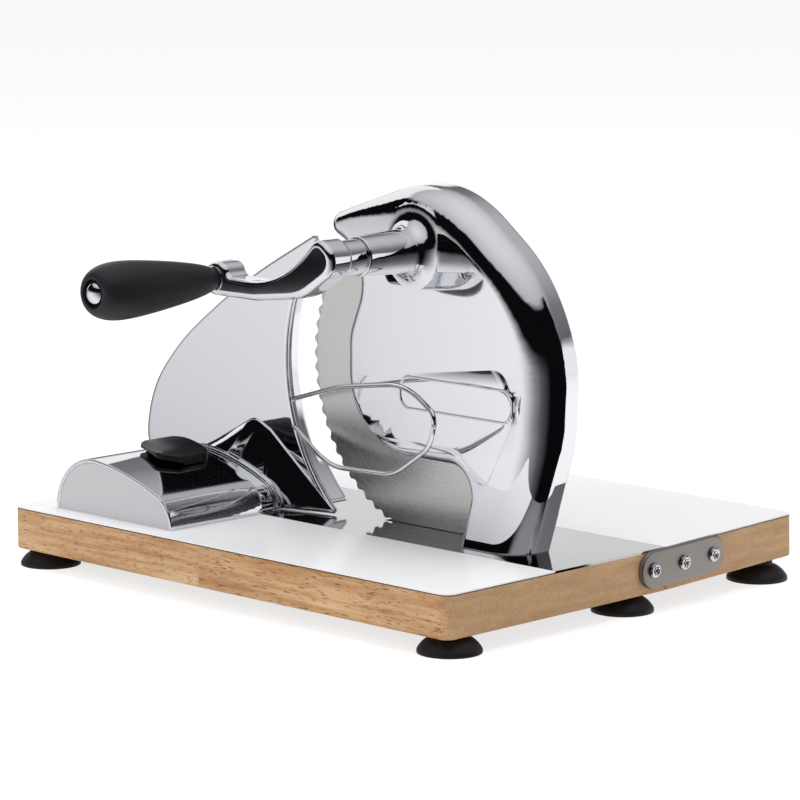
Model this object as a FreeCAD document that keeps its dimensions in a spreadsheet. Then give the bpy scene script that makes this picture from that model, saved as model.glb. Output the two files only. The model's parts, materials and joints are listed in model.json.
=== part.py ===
import FreeCAD, Part
import math
import os
import re
import Sketcher
from FreeCAD import Placement, Rotation, Vector

# Hand-cranked bread slicer on a two-piece wooden board.
#
# Frame: +Z up, +X along the long side of the board, +Y away from the crank.
# The origin is on the table, under the middle of the slicer with its crank and grip.
# The blade stands in an XZ plane; crank and blade turn about axes parallel to Y.
# Every y below is counted from the middle of the board, which lies frame_y behind the origin.

SIZES = (
    # board, sheets and feet
    ("frame_y", 30.1),
    ("board_length", 310),
    ("rear_width", 101),
    ("board_thick", 20.8),
    ("sheet_thick", 1.2),
    ("board_corner", 6),
    ("board_edge", 1),
    ("foot_height", 9),
    ("foot_radius", 15.5),
    ("foot_neck", 7.8),
    ("foot_stem", 4),
    ("foot_inset", 12.5),
    ("rear_tilt", 1.7),
    ("front_y", -127.6),
    ("joint_y", 26.4),
    ("joint_gap", 0.2),
    ("strip_y", -54),
    ("table_z", 31),
    # splice plates on both ends of the board
    ("splice_length", 62.5),
    ("splice_height", 18.4),
    ("splice_thick", 2.8),
    ("splice_y", 10.8),
    ("splice_z", -9.3),
    ("splice_pitch", 22.5),
    # blade
    ("blade_x", 46),
    ("blade_y", -20.1),
    ("blade_z", 111.5),
    ("blade_radius", 87.5),
    ("blade_thick", 1.5),
    ("blade_wave", 0.9),
    ("blade_waves", 72),
    ("blade_bevel", 9),
    ("blade_bore", 9),
    ("slot_length", 72),
    ("slot_width", 4.5),
    ("slot_depth", 8.5),
    # gear train
    ("gear_module", 1.5),
    ("crank_teeth", 35),
    ("blade_teeth", 49),
    ("gear_y", -33.6),
    ("gear_width", 6),
    ("gear_play", 0.12),
    ("crank_x", 52),
    ("hub_disc", 17),
    ("axle_radius", 6),
    # housing
    ("housing_front", -44.6),
    ("housing_rear", -20.7),
    ("housing_wall", 2.2),
    ("housing_round", 6),
    ("housing_roll", 16),
    ("housing_cavity", 13.7),
    ("lightening", 5.4),
    ("boss_radius", 9.8),
    ("boss_root", 10.8),
    ("boss_end", -83.2),
    ("boss_bell", 8.5),
    ("bell_brow", 12),
    ("panel_rise", 0.9),
    ("plaque_x", 44.5),
    ("plaque_z", 95.5),
    ("plaque_length", 76),
    ("plaque_height", 17),
    ("plaque_round", 7),
    ("plaque_rise", 0.6),
    ("cover_y", -26.6),
    ("cover_thick", 1.2),
    # crank and grip
    ("shaft_radius", 5),
    ("bush_radius", 7),
    ("bush_length", 16),
    ("running_fit", 0.05),
    ("arm_front", -109.6),
    ("arm_thick", 14.5),
    ("arm_round", 3),
    ("sleeve_radius", 8.75),
    ("sleeve_end", -83.5),
    ("grip_x", -20.7),
    ("grip_z", 159.5),
    ("grip_front", -110.1),
    ("pin_radius", 3),
    ("nut_radius", 5.5),
    # thickness adjuster
    ("drum_front", -116.1),
    ("drum_rear", -52.6),
    ("drum_wall", 2),
    ("drum_x", -105.2),
    ("dome_left", 28.8),
    ("dome_top", 150),
    ("dome_right", 18),
    ("dome_turn", 84),
    ("slide_gap", 0.8),
    ("slide_wall", 2),
    ("slide_front", -97.6),
    ("ring_front", -41.6),
    ("bracket_front", -38.6),
    ("plate_y", -29.6),
    ("plate_thick", 2),
    ("plate_flange", 5.5),
    ("flange_wall", 1.8),
    ("plate_arc", 100),
    ("rod_radius", 3),
    ("lever_x", -96),
    ("lever_y", -70),
    ("lever_z", 47),
    ("lever_gap", 0.7),
    ("lever_crown", 5.4),
    ("thumb_y", -91.1),
    ("thumb_z", 84),
    ("thumb_radius", 22),
    # slice guard
    ("wire_radius", 1.25),
    ("wire_x", -45.2),
    ("wire_turn", -19.25),
)

FUNCTIONS = ("sqrt", "pow")

doc = FreeCAD.newDocument("BreadSlicer")
sheet = doc.addObject("Spreadsheet::Sheet", "Sizes")
for row, (alias, value) in enumerate(SIZES, start=1):
    sheet.set("A%d" % row, alias)
    sheet.set("B%d" % row, str(value))
    sheet.setAlias("B%d" % row, alias)
doc.recompute()

parts = []


# ---------------------------------------------------------------- helpers


def size(alias):
    """The plain number in one cell of the sheet."""
    return float(sheet.get(alias))


def formula(text):
    """A sheet formula written with bare aliases, such as 'board_length / 2'."""
    if isinstance(text, (int, float)):
        return "%.6f" % text

    def name(match):
        word = match.group()
        return word if word in FUNCTIONS else "Sizes." + word
    return re.sub(r"[a-z_][a-z0-9_]*", name, str(text))


def value_of(text):
    """The number that a formula over the sheet gives."""
    if isinstance(text, (int, float)):
        return float(text)
    answer = sheet.evalExpression(formula(text))
    return float(getattr(answer, "Value", answer))


def bind(target, prop, text):
    target.setExpression(prop, formula(text))


def place(target, x=0, y=0, z=0):
    """Bind where a sub-part's own origin stands; y is counted from the board's middle."""
    for axis, text in zip("xyz", (x, "(%s) + frame_y" % y, z)):
        bind(target, "Placement.Base." + axis, text)


def keep(target, label):
    """Name a finished sub-part and list it for export."""
    target.Label = label
    parts.append(target)
    return target


def new_body(label, x=0, y=0, z=0):
    body = doc.addObject("PartDesign::Body", label)
    place(body, x, y, z)
    return keep(body, label)


def sketch(body, role, name, level="0", shift="0"):
    """A sketch on one of the body's own planes, 'level' along the axis it faces.

    XY_Plane faces +Z and YZ_Plane faces +X; on XZ_Plane level counts along +Y.
    'shift' moves the sketch's own origin along its first axis.
    """
    drawing = body.newObject("Sketcher::SketchObject", body.Name + "_" + name)
    plane = [item for item in body.Origin.OriginFeatures if item.Role == role][0]
    drawing.AttachmentSupport = [(plane, "")]
    drawing.MapMode = "FlatFace"
    sign = "-1 * " if role == "XZ_Plane" else ""
    bind(drawing, "AttachmentOffset.Base.z", "%s(%s)" % (sign, level))
    bind(drawing, "AttachmentOffset.Base.x", shift)
    return drawing


def pin_point(drawing, geometry, end, x, y):
    """Hold one point of a sketch at bound distances from the sketch's origin."""
    for kind, text, axis in (("DistanceX", x, -2), ("DistanceY", y, -1)):
        number = value_of(text)
        if abs(number) < 1e-6:
            drawing.addConstraint(Sketcher.Constraint("PointOnObject", geometry, end, axis))
            continue
        index = drawing.addConstraint(Sketcher.Constraint(kind, -1, 1, geometry, end, number))
        drawing.setExpression("Constraints[%d]" % index, formula(text))


def circle(drawing, x, y, radius):
    """A circle with its centre and radius bound to the sheet."""
    centre = Vector(value_of(x), value_of(y), 0)
    index = drawing.addGeometry(Part.Circle(centre, Vector(0, 0, 1), value_of(radius)), False)
    row = drawing.addConstraint(Sketcher.Constraint("Radius", index, value_of(radius)))
    drawing.setExpression("Constraints[%d]" % row, formula(radius))
    pin_point(drawing, index, 3, x, y)
    return index


def rectangle(drawing, x0, y0, x1, y1):
    """A rectangle between two bound corners."""
    low = (value_of(x0), value_of(y0))
    high = (value_of(x1), value_of(y1))
    corners = [Vector(low[0], low[1], 0), Vector(high[0], low[1], 0),
               Vector(high[0], high[1], 0), Vector(low[0], high[1], 0)]
    first = drawing.GeometryCount
    for turn in range(4):
        drawing.addGeometry(Part.LineSegment(corners[turn], corners[(turn + 1) % 4]), False)
    for turn in range(4):
        following = first + (turn + 1) % 4
        drawing.addConstraint(Sketcher.Constraint("Coincident", first + turn, 2, following, 1))
        level = "Horizontal" if turn % 2 == 0 else "Vertical"
        drawing.addConstraint(Sketcher.Constraint(level, first + turn))
    pin_point(drawing, first, 1, x0, y0)
    pin_point(drawing, first + 2, 1, x1, y1)


def draw(drawing, start, steps):
    """A run of edges: each step is (end,) for a line or (via, end) for an arc."""
    here = Vector(start[0], start[1], 0)
    edges = []
    for step in steps:
        end = Vector(step[-1][0], step[-1][1], 0)
        if len(step) == 2:
            edges.append(Part.Arc(here, Vector(step[0][0], step[0][1], 0), end))
        else:
            edges.append(Part.LineSegment(here, end))
        here = end
    drawing.addGeometry(edges, False)


def outline(drawing, start, steps):
    """A closed outline whose edges are tied end to end."""
    draw(drawing, start, steps)
    drawing.detectMissingPointOnPointConstraints(0.001)
    drawing.makeMissingPointOnPointCoincident()


def pad(body, drawing, length, along=1, name="Pad"):
    """Raise a sketch by a bound length; 'along' is the way on the plane's own axis."""
    feature = body.newObject("PartDesign::Pad", body.Name + "_" + name)
    feature.Profile = drawing
    bind(feature, "Length", length)
    faces_back = "XZ_Plane" in str(drawing.AttachmentSupport[0][0].Role)
    feature.Reversed = (along > 0) == faces_back
    body.Tip = feature
    doc.recompute()
    return feature


def pocket(body, drawing, length, along=1, name="Pocket"):
    """Sink a sketch by a bound length and check that it took material away."""
    before = body.Shape.Volume
    feature = body.newObject("PartDesign::Pocket", body.Name + "_" + name)
    feature.Profile = drawing
    bind(feature, "Length", length)
    faces_back = "XZ_Plane" in str(drawing.AttachmentSupport[0][0].Role)
    feature.Reversed = (along > 0) != faces_back
    body.Tip = feature
    doc.recompute()
    if body.Shape.Volume >= before:
        raise ValueError("pocket %s cuts nothing" % feature.Name)
    return feature


def revolve(body, drawing, axis="V_Axis", cut=False, name="Revolution"):
    """Turn a sketch a full circle about one of its own axes."""
    kind = "PartDesign::Groove" if cut else "PartDesign::Revolution"
    before = body.Shape.Volume if cut else 0
    feature = body.newObject(kind, body.Name + "_" + name)
    feature.Profile = drawing
    feature.ReferenceAxis = (drawing, [axis])
    feature.Angle = 360
    body.Tip = feature
    doc.recompute()
    if cut and body.Shape.Volume >= before:
        raise ValueError("groove %s cuts nothing" % feature.Name)
    return feature


def edges_where(shape, test):
    """Names of the edges whose middle point passes a test."""
    names = []
    for number, edge in enumerate(shape.Edges, start=1):
        middle = edge.valueAt((edge.FirstParameter + edge.LastParameter) / 2)
        if test(edge, middle):
            names.append("Edge%d" % number)
    return names


def soften(body, test, radius, kind="Fillet", name="Round"):
    """Fillet or chamfer the edges of the body's tip that pass a test."""
    tip = body.Tip
    feature = body.newObject("PartDesign::" + kind, body.Name + "_" + name)
    feature.Base = (tip, edges_where(tip.Shape, test))
    bind(feature, "Radius" if kind == "Fillet" else "Size", radius)
    body.Tip = feature
    doc.recompute()
    return feature


def upright(edge):
    """True for an edge that starts parallel to Z."""
    direction = edge.tangentAt(edge.FirstParameter)
    return abs(direction.z) > 0.999


def polar(centre, radius, degrees):
    """A point on a circle in the XZ plane."""
    turn = math.radians(degrees)
    return (centre[0] + radius * math.cos(turn), centre[1] + radius * math.sin(turn))


def corner_arc(before, corner, after):
    """Start, middle and end of the round on one corner (x, y, radius) of an outline."""
    point = Vector(corner[0], corner[1], 0)
    back = (Vector(before[0], before[1], 0) - point).normalize()
    ahead = (Vector(after[0], after[1], 0) - point).normalize()
    half = back.getAngle(ahead) / 2
    reach = corner[2] / math.tan(half)
    inward = (back + ahead).normalize()
    middle = point + inward * (corner[2] / math.sin(half) - corner[2])
    return point + back * reach, middle, point + ahead * reach


def rounded(corners):
    """Start and steps of a closed outline through corners (x, y, radius)."""
    count = len(corners)
    arcs = [corner_arc(corners[turn - 1], corners[turn], corners[(turn + 1) % count])
            for turn in range(count)]
    steps = []
    for turn, (enter, middle, leave) in enumerate(arcs):
        if corners[turn][2] > 0:
            steps.append((middle, leave))
        following = arcs[(turn + 1) % count][0]
        if (following - leave).Length > 0.01:
            steps.append((following,))
    return arcs[0][0], steps


def inset(corners, depth):
    """The corners of a rounded outline, drawn anticlockwise, moved inward by 'depth'."""
    count = len(corners)
    moved = []
    for turn in range(count):
        here = Vector(corners[turn][0], corners[turn][1], 0)
        back = Vector(corners[turn - 1][0], corners[turn - 1][1], 0)
        ahead = Vector(corners[(turn + 1) % count][0], corners[(turn + 1) % count][1], 0)
        enter = (here - back).normalize()
        leave = (ahead - here).normalize()
        convex = enter.x * leave.y - enter.y * leave.x > 0
        side = Vector(-enter.y, enter.x, 0) + Vector(-leave.y, leave.x, 0)
        side = side * (depth / (1 + enter.dot(leave)))
        radius = corners[turn][2] - depth if convex else corners[turn][2] + depth
        moved.append((here.x + side.x, here.y + side.y, max(radius, 1)))
    return moved


def rectangle_cut(body, role, corners, level, length, along, name):
    """A rectangular pocket in one go: corners are the four texts of 'rectangle'."""
    drawing = sketch(body, role, name, level)
    rectangle(drawing, *corners)
    return pocket(body, drawing, length, along=along, name=name + "_cut")


def round_cut(body, role, centres, radius, level, length, along, name):
    """Round holes of one radius and depth."""
    drawing = sketch(body, role, name, level)
    for x, y in centres:
        circle(drawing, x, y, radius)
    return pocket(body, drawing, length, along=along, name=name + "_cut")


def screws(label, seats, direction, head, shank):
    """Separate screws, alike, in one node: head and shank are (radius, length).

    A seat is the point under the head; the shank runs along 'direction'.
    """
    solids = []
    for seat in seats:
        under = Vector(*[value_of(text) for text in seat])
        cap = Part.makeCylinder(head[0], head[1], under - direction * head[1], direction)
        cap = cap.makeChamfer(head[1] * 0.3, [cap.Edges[0], cap.Edges[2]])
        stem = Part.makeCylinder(shank[0], shank[1], under - direction * 0.2, direction)
        solids.append(cap.fuse(stem).removeSplitter())
    return loose(label, Part.makeCompound(solids))


def loose(label, shape):
    """A node whose shape is made outright, in the same frame as the bodies' own numbers."""
    node = doc.addObject("Part::Feature", label)
    node.Shape = shape
    place(node)
    return keep(node, label)


ALONG_X = Vector(1, 0, 0)
ALONG_Y = Vector(0, 1, 0)
UP = Vector(0, 0, 1)


# ---------------------------------------------------------------- board


def tilt(target):
    """Stand a sub-part in the rear board's own frame: origin on the joint's top edge."""
    target.Placement = Placement(Vector(), Rotation(ALONG_X, size("rear_tilt")))
    place(target, 0, "joint_y + joint_gap", "table_z")


def tilted(y, z):
    """Where a point of the rear board's frame lies, as (y, z) of the slicer's frame."""
    turn = math.radians(size("rear_tilt"))
    along = size("joint_y") + size("joint_gap") + y * math.cos(turn) - z * math.sin(turn)
    return along, size("table_z") + y * math.sin(turn) + z * math.cos(turn)


def board_body(body, y0, y1, z0, outer):
    """A wooden board whose two corners at y = outer are rounded."""
    base = sketch(body, "XY_Plane", "outline", z0)
    rectangle(base, "-1 * board_length / 2", y0, "board_length / 2", y1)
    pad(body, base, "board_thick")
    edge_y = value_of(outer)
    soften(body, lambda edge, mid: upright(edge) and abs(mid.y - edge_y) < 0.1,
           "board_corner", name="Corners")
    bottom = body.Tip.Shape.BoundBox.ZMin
    soften(body, lambda edge, mid: abs(mid.z - bottom) < 0.01 and edge.Length > 1,
           "board_edge", name="Edges")


def sheet_body(body, y0, y1, z0, outer=None, slotted=False):
    """A thin facing sheet on a board, with the blade's slot or two rounded corners."""
    base = sketch(body, "XY_Plane", "outline", z0)
    rectangle(base, "-1 * board_length / 2", y0, "board_length / 2", y1)
    pad(body, base, "sheet_thick")
    if outer is not None:
        edge_y = value_of(outer)
        soften(body, lambda edge, mid: upright(edge) and abs(mid.y - edge_y) < 0.1,
               "board_corner", name="Corners")
    if slotted:
        rectangle_cut(body, "XY_Plane", BLADE_SLOT, "%s + sheet_thick" % z0,
                      "sheet_thick", -1, "slot")


BLADE_SLOT = ("blade_x - slot_length / 2", "blade_y + blade_thick / 2 - slot_width / 2",
              "blade_x + slot_length / 2", "blade_y + blade_thick / 2 + slot_width / 2")
SPLICE_SIDES = (("right", 1), ("left", -1))
SPLICE_SCREWS = (-1, 0, 1)
FOOT_X = "board_length / 2 - foot_inset"
FEET = {"front": "-113", "middle": "9.4"}
REAR_FOOT = "86.5"
HOUSING_SCREWS = (("94", "-33"), ("110", "-33"))
SUPPORT_SCREWS = (("-105", "-70"), ("-80", "-70"))


def foot_seats(y):
    return [(FOOT_X, y), ("-1 * (%s)" % FOOT_X, y)]


def front_board():
    body = new_body("front_board")
    board_body(body, "front_y", "joint_y", "foot_height", "front_y")
    seats = foot_seats(FEET["front"]) + foot_seats(FEET["middle"])
    round_cut(body, "XY_Plane", seats, "foot_stem + 0.1", "foot_height", "5", 1, "stems")
    round_cut(body, "XY_Plane", seats, "2", "foot_height + 5", "9", 1, "pilots")
    rectangle_cut(body, "XY_Plane", BLADE_SLOT, "foot_height + board_thick",
                  "slot_depth - sheet_thick", -1, "slot")
    round_cut(body, "XY_Plane", HOUSING_SCREWS, "2.6", "foot_height", "board_thick", 1, "fixing")
    round_cut(body, "XY_Plane", HOUSING_SCREWS, "6", "foot_height", "6", 1, "sunk")
    round_cut(body, "XY_Plane", SUPPORT_SCREWS, "2", "foot_height", "board_thick", 1, "support")
    round_cut(body, "XY_Plane", SUPPORT_SCREWS, "4.2", "foot_height", "8", 1, "support_sunk")
    y, z = tilted(size("splice_y") - size("splice_pitch"), size("splice_z"))
    for side, sign in SPLICE_SIDES:
        round_cut(body, "YZ_Plane", ((y, z),), "2.2", "%d * board_length / 2" % sign,
                  "20", -sign, "splice_" + side)


def rear_board():
    body = new_body("rear_board")
    board_body(body, "0", "rear_width", "-1 * (board_thick + sheet_thick)", "rear_width")
    tilt(body)
    low = "-1 * (board_thick + sheet_thick)"
    seats = foot_seats(REAR_FOOT)
    round_cut(body, "XY_Plane", seats, "foot_stem + 0.4", low, "6", 1, "stems")
    round_cut(body, "XY_Plane", seats, "2.3", low + " + 6", "9", 1, "pilots")
    holes = [("splice_y + %d * splice_pitch" % step, "splice_z") for step in SPLICE_SCREWS[1:]]
    for side, sign in SPLICE_SIDES:
        round_cut(body, "YZ_Plane", holes, "2.2", "%d * board_length / 2" % sign,
                  "20", -sign, "splice_" + side)


def facing_sheets():
    top = "table_z - sheet_thick"
    front = new_body("front_top_sheet")
    sheet_body(front, "front_y", "strip_y", top, outer="front_y")
    round_cut(front, "XY_Plane", SUPPORT_SCREWS, "2", top, "sheet_thick", 1, "support")
    strip = new_body("steel_strip")
    sheet_body(strip, "strip_y", "joint_y", top, slotted=True)
    round_cut(strip, "XY_Plane", HOUSING_SCREWS, "2.6", top, "sheet_thick", 1, "fixing")
    rear = new_body("rear_top_sheet")
    sheet_body(rear, "0", "rear_width", "-1 * sheet_thick", outer="rear_width")
    tilt(rear)


def suction_foot(label, x, y, neck):
    """A rubber suction cup with its stem; 'neck' is how high the board stands on it."""
    body = new_body(label, x, y)
    profile = sketch(body, "XZ_Plane", "profile")
    radius = size("foot_radius")
    rim = 1.5
    throat = size("foot_neck")
    stem = size("foot_stem")
    top = value_of(neck)
    outline(profile, (radius, 0), (
        ((radius, rim),), ((throat + 4.6, 5.4), (throat, 8)), ((throat, top),),
        ((stem, top),), ((stem, top + 5),), ((2.1, top + 5),), ((2.1, 5.6),), ((4.4, 5.6),),
        ((4.4, 3.4),), ((9.5, 1.9), (radius - 1.5, 0)), ((radius, 0),)))
    revolve(body, profile)
    return body


def feet():
    for row, y in FEET.items():
        for side, sign in SPLICE_SIDES:
            suction_foot("foot_%s_%s" % (row, side), "%d * (%s)" % (sign, FOOT_X), y, "foot_height")
    y, low = tilted(float(REAR_FOOT), -size("board_thick") - size("sheet_thick"))
    lean = math.tan(math.radians(size("rear_tilt"))) * size("foot_neck")
    for side, sign in SPLICE_SIDES:
        suction_foot("foot_rear_" + side, "%d * (%s)" % (sign, FOOT_X), y, low - lean)
    seats = [(sx, y) for row in FEET.values() for sx, y in foot_seats(row)]
    places = [(x, place_y, "5.6") for x, place_y in seats]
    places += [(x, y, "5.6") for x, _ in foot_seats(REAR_FOOT)]
    screws("foot_screws", places, UP, (4, 2), (1.9, 15))


def splices():
    """Satin plates that tie the two boards together at both ends, and their screws."""
    half = "splice_length / 2"
    bend = size("splice_height") / 2
    reach = size("splice_length") / 2 - bend
    middle = (size("splice_y"), size("splice_z"))
    for side, sign in SPLICE_SIDES:
        body = new_body("splice_plate_" + side)
        face = sketch(body, "YZ_Plane", "outline", "%d * board_length / 2" % sign)
        outline(face, (middle[0] - reach, middle[1] - bend), (
            ((middle[0] + reach, middle[1] - bend),),
            ((middle[0] + reach + bend, middle[1]), (middle[0] + reach, middle[1] + bend)),
            ((middle[0] - reach, middle[1] + bend),),
            ((middle[0] - reach - bend, middle[1]), (middle[0] - reach, middle[1] - bend))))
        pad(body, face, "splice_thick", along=sign)
        outside = value_of("%d * (board_length / 2 + splice_thick)" % sign)
        soften(body, lambda edge, mid: abs(mid.x - outside) < 0.01, "0.6", "Chamfer", "Rim")
        tilt(body)
        holes = [("splice_y + %d * splice_pitch" % step, "splice_z") for step in SPLICE_SCREWS]
        round_cut(body, "YZ_Plane", holes, "2.2", "%d * board_length / 2" % sign,
                  "splice_thick", sign, "holes")
        seats = [(outside, "splice_y + %d * splice_pitch" % step, "splice_z")
                 for step in SPLICE_SCREWS]
        node = screws("splice_screws_" + side, seats, ALONG_X * -sign, (3.6, 1.6), (2, 20))
        tilt(node)


# ---------------------------------------------------------------- housing

# Front view of the casting, anticlockwise from the foot: x, z, the corner's radius, and
# how far the front rim's round has grown there from housing_round (0) to housing_roll (1).
HOUSING = (
    (114, 8, 0, 1), (138.3, 85.3, 70, 1), (140.5, 126.8, 74, 1), (122.9, 166.7, 90, 1),
    (87.3, 194, 64, 1), (56.8, 210.7, 58, 0.65), (-17.2, 182.9, 6.6, 0), (20.6, 166.6, 24, 0),
    (5.2, 128.8, 27.7, 0), (5, 70.5, 40, 0), (93.9, 70.5, 14, 0), (73.5, 8, 0, 0),
)
PANEL = (
    (100, 61, 4), (122.5, 101, 15), (111.5, 121.5, 10), (16, 108.5, 8),
    (16, 79.5, 18), (84, 79.5, 10),
)
LIGHTENING = (
    (89, 52, 6), (118, 52, 10), (130, 95, 40), (124, 146, 40), (96, 163, 8), (92, 100, 30),
)
COVER_POSTS = (("104", "66"), ("126", "118"), ("98", "168"), ("11", "178"))


def crank_z():
    """Height of the crank's axis: one centre distance from the blade's."""
    spread = size("gear_module") * (size("crank_teeth") + size("blade_teeth")) / 2
    return size("blade_z") + math.sqrt(spread ** 2 - (size("crank_x") - size("blade_x")) ** 2)


CRANK_Z = ("blade_z + sqrt(pow(gear_module * (crank_teeth + blade_teeth) / 2; 2)"
           " - pow(crank_x - blade_x; 2))")


def roll_at(point):
    """Radius of the front rim's round at a point, read off the nearest corner."""
    corner = min(HOUSING, key=lambda item: math.hypot(item[0] - point.x, item[1] - point.z))
    return size("housing_round") + corner[3] * (size("housing_roll") - size("housing_round"))


def housing_blank():
    """The casting's outer form: the extruded outline, its front rim rolled over."""
    blank = doc.addObject("PartDesign::Body", "housing_blank")
    face = sketch(blank, "XZ_Plane", "outline", "housing_front")
    outline(face, *rounded(HOUSING))
    pad(blank, face, "housing_rear - housing_front")
    lowest = min(corner[1] for corner in HOUSING)
    rims = []
    for number, edge in enumerate(blank.Shape.Edges, start=1):
        ends = [edge.valueAt(edge.FirstParameter), edge.valueAt(edge.LastParameter)]
        in_face = all(abs(end.y - size("housing_front")) < 0.01 for end in ends)
        if in_face and max(end.z for end in ends) > lowest + 0.01:
            rims.append((number, roll_at(ends[0]), roll_at(ends[1])))
    rolled = doc.addObject("Part::Fillet", "housing_rolled")
    rolled.Base = blank
    rolled.Edges = rims
    doc.recompute()
    return rolled


def blade_housing():
    body = new_body("blade_housing")
    body.BaseFeature = housing_blank()
    doc.recompute()
    front = size("housing_front")
    rectangle_cut(body, "XZ_Plane", ("60", "0", "140", "table_z"), "housing_front - 1",
                  "housing_rear - housing_front + 2", 1, "foot_flat")

    panel = sketch(body, "XZ_Plane", "panel", "housing_front + 2")
    outline(panel, *rounded(PANEL))
    pad(body, panel, "2 + panel_rise", along=-1, name="Panel")
    plaque = sketch(body, "XZ_Plane", "plaque", "housing_front + 2")
    left, low = size("plaque_x"), size("plaque_z")
    right, high = left + size("plaque_length"), low + size("plaque_height")
    bend = size("plaque_round")
    outline(plaque, *rounded(((right, low, bend), (right, high, bend),
                              (left, high, bend), (left, low, bend))))
    pad(body, plaque, "2 + panel_rise + plaque_rise", along=-1, name="Plaque")

    # the boss opens like a bell into the face, and its brow dips under the rolled rim
    bell = size("boss_bell")
    brow = size("bell_brow")
    root = crank_z() + size("boss_root")
    half = math.sqrt(0.5)
    lean = math.radians(17)
    boss = sketch(body, "YZ_Plane", "boss", "crank_x")
    outline(boss, (size("boss_end"), crank_z()), (
        ((size("boss_end"), crank_z() + size("boss_radius") - 0.8),),
        ((size("boss_end") + 0.25, crank_z() + size("boss_radius") - 0.25),
         (size("boss_end") + 0.8, crank_z() + size("boss_radius"))),
        ((front - bell, root),),
        ((front - bell * (1 - half), root + bell * (1 - half)), (front, root + bell)),
        ((front + brow * (1 - math.cos(lean / 2)), root + bell + brow * math.sin(lean / 2)),
         (front + brow * (1 - math.cos(lean)), root + bell + brow * math.sin(lean))),
        ((front + 4, root + bell),),
        ((front + 4, crank_z()),),
        ((size("boss_end"), crank_z()),)))
    turn_about_crank(body, boss, "Boss")

    cavity = sketch(body, "XZ_Plane", "cavity", "housing_rear")
    outline(cavity, *rounded(inset(HOUSING, size("housing_wall"))))
    pocket(body, cavity, "housing_cavity", along=-1, name="Cavity")
    foot = sketch(body, "XZ_Plane", "foot_block", "housing_front + 10")
    outline(foot, *rounded(((82.3, 31, 0), (120.3, 31, 0), (125, 46, 0), (87, 46, 0))))
    pad(body, foot, "13.9", along=1, name="Foot_block")
    light = sketch(body, "XZ_Plane", "lightening", "housing_rear - housing_cavity")
    outline(light, *rounded(LIGHTENING))
    pocket(body, light, "lightening", along=-1, name="Lightening")

    post_root = "housing_rear - housing_cavity - lightening - 1"
    posts = sketch(body, "XZ_Plane", "posts", post_root)
    for x, z in COVER_POSTS:
        circle(posts, x, z, "4")
    pad(body, posts, "cover_y - (%s)" % post_root, along=1, name="Posts")
    round_cut(body, "XZ_Plane", COVER_POSTS, "1.5", "cover_y", "7", -1, "post_threads")
    round_cut(body, "XZ_Plane", (("crank_x", CRANK_Z),), "bush_radius",
              "boss_end", "60", 1, "bore")
    round_cut(body, "XZ_Plane", (("blade_x", "blade_z"),), "axle_radius",
              "housing_front + 4", "20", 1, "axle_seat")
    round_cut(body, "XY_Plane", HOUSING_SCREWS, "2.5", "table_z", "13", 1, "threads")
    return body


def turn_about_crank(body, drawing, name):
    """Turn a sketch about the crank's axis, which a construction line marks."""
    line = Part.LineSegment(Vector(-90, crank_z(), 0), Vector(0, crank_z(), 0))
    drawing.addGeometry(line, True)
    revolve(body, drawing, "Axis0", name=name)


def housing_screws():
    seats = [(x, y, "foot_height + 6") for x, y in HOUSING_SCREWS]
    screws("housing_screws", seats, UP, (5.2, 4), (2.5, 28))


def gear_cover():
    """The flat plate that closes the casting behind the gears."""
    body = new_body("gear_cover")
    face = sketch(body, "XZ_Plane", "outline", "cover_y")
    corners = ((126.3, 47, 2),) + HOUSING[1:-1] + ((86.2, 47, 2),)
    outline(face, *rounded(inset(corners, size("housing_wall") + 0.3)))
    circle(face, "blade_x", "blade_z", "hub_disc + 0.6")
    pad(body, face, "cover_thick", along=1)
    round_cut(body, "XZ_Plane", COVER_POSTS, "1.7", "cover_y", "cover_thick", 1, "holes")
    seats = [(x, "cover_y + cover_thick", z) for x, z in COVER_POSTS]
    screws("cover_screws", seats, -ALONG_Y, (2.8, 1.5), (1.5, 7))


def tube_piece(label, x, y, z, profile_points):
    """A turned part on an axis along Y: (distance, radius) points from its own origin."""
    body = new_body(label, x, y, z)
    profile = sketch(body, "YZ_Plane", "profile")
    first, *rest = profile_points
    outline(profile, first, [(point,) for point in rest] + [(first,)])
    revolve(body, profile, "H_Axis")
    return body


def ring(label, x, y, z, inner, outer, length, edge=0.3):
    """A turned ring or, with inner = 0, a rod; its far end is at y + length."""
    inside, outside, reach = value_of(inner), value_of(outer), value_of(length)
    return tube_piece(label, x, y, z, (
        (0, inside), (0, outside - edge), (edge, outside), (reach - edge, outside),
        (reach, outside - edge), (reach, inside)))


def bearings():
    """Two bronze bushes for the crank and the fixed axle that the blade turns on."""
    ring("crank_bush_front", "crank_x", "boss_end", CRANK_Z,
         "shaft_radius + running_fit", "bush_radius", "bush_length")
    ring("crank_bush_rear", "crank_x", "housing_rear - housing_cavity - bush_length", CRANK_Z,
         "shaft_radius + running_fit", "bush_radius", "bush_length")
    reach = "blade_y + blade_thick + 0.4 - housing_front - 4"
    axle = ring("blade_axle", "blade_x", "housing_front + 4", "blade_z", "0", "axle_radius", reach)
    round_cut(axle, "XZ_Plane", (("0", "0"),), "2.4", reach, "9", -1, "thread")
    ring("axle_cap", "blade_x", "blade_y + blade_thick + 0.4", "blade_z", "2.4", "10", "1.6")
    screws("axle_screw", [("blade_x", "blade_y + blade_thick + 2", "blade_z")], -ALONG_Y,
           (4.5, 2.2), (2.4, 10))


# ---------------------------------------------------------------- gears and blade


def mesh_angle():
    """Direction, in degrees, from the blade's axis to the crank's."""
    return math.degrees(math.atan2(crank_z() - size("blade_z"), size("crank_x") - size("blade_x")))


def involute(angle):
    return math.tan(angle) - angle


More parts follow.
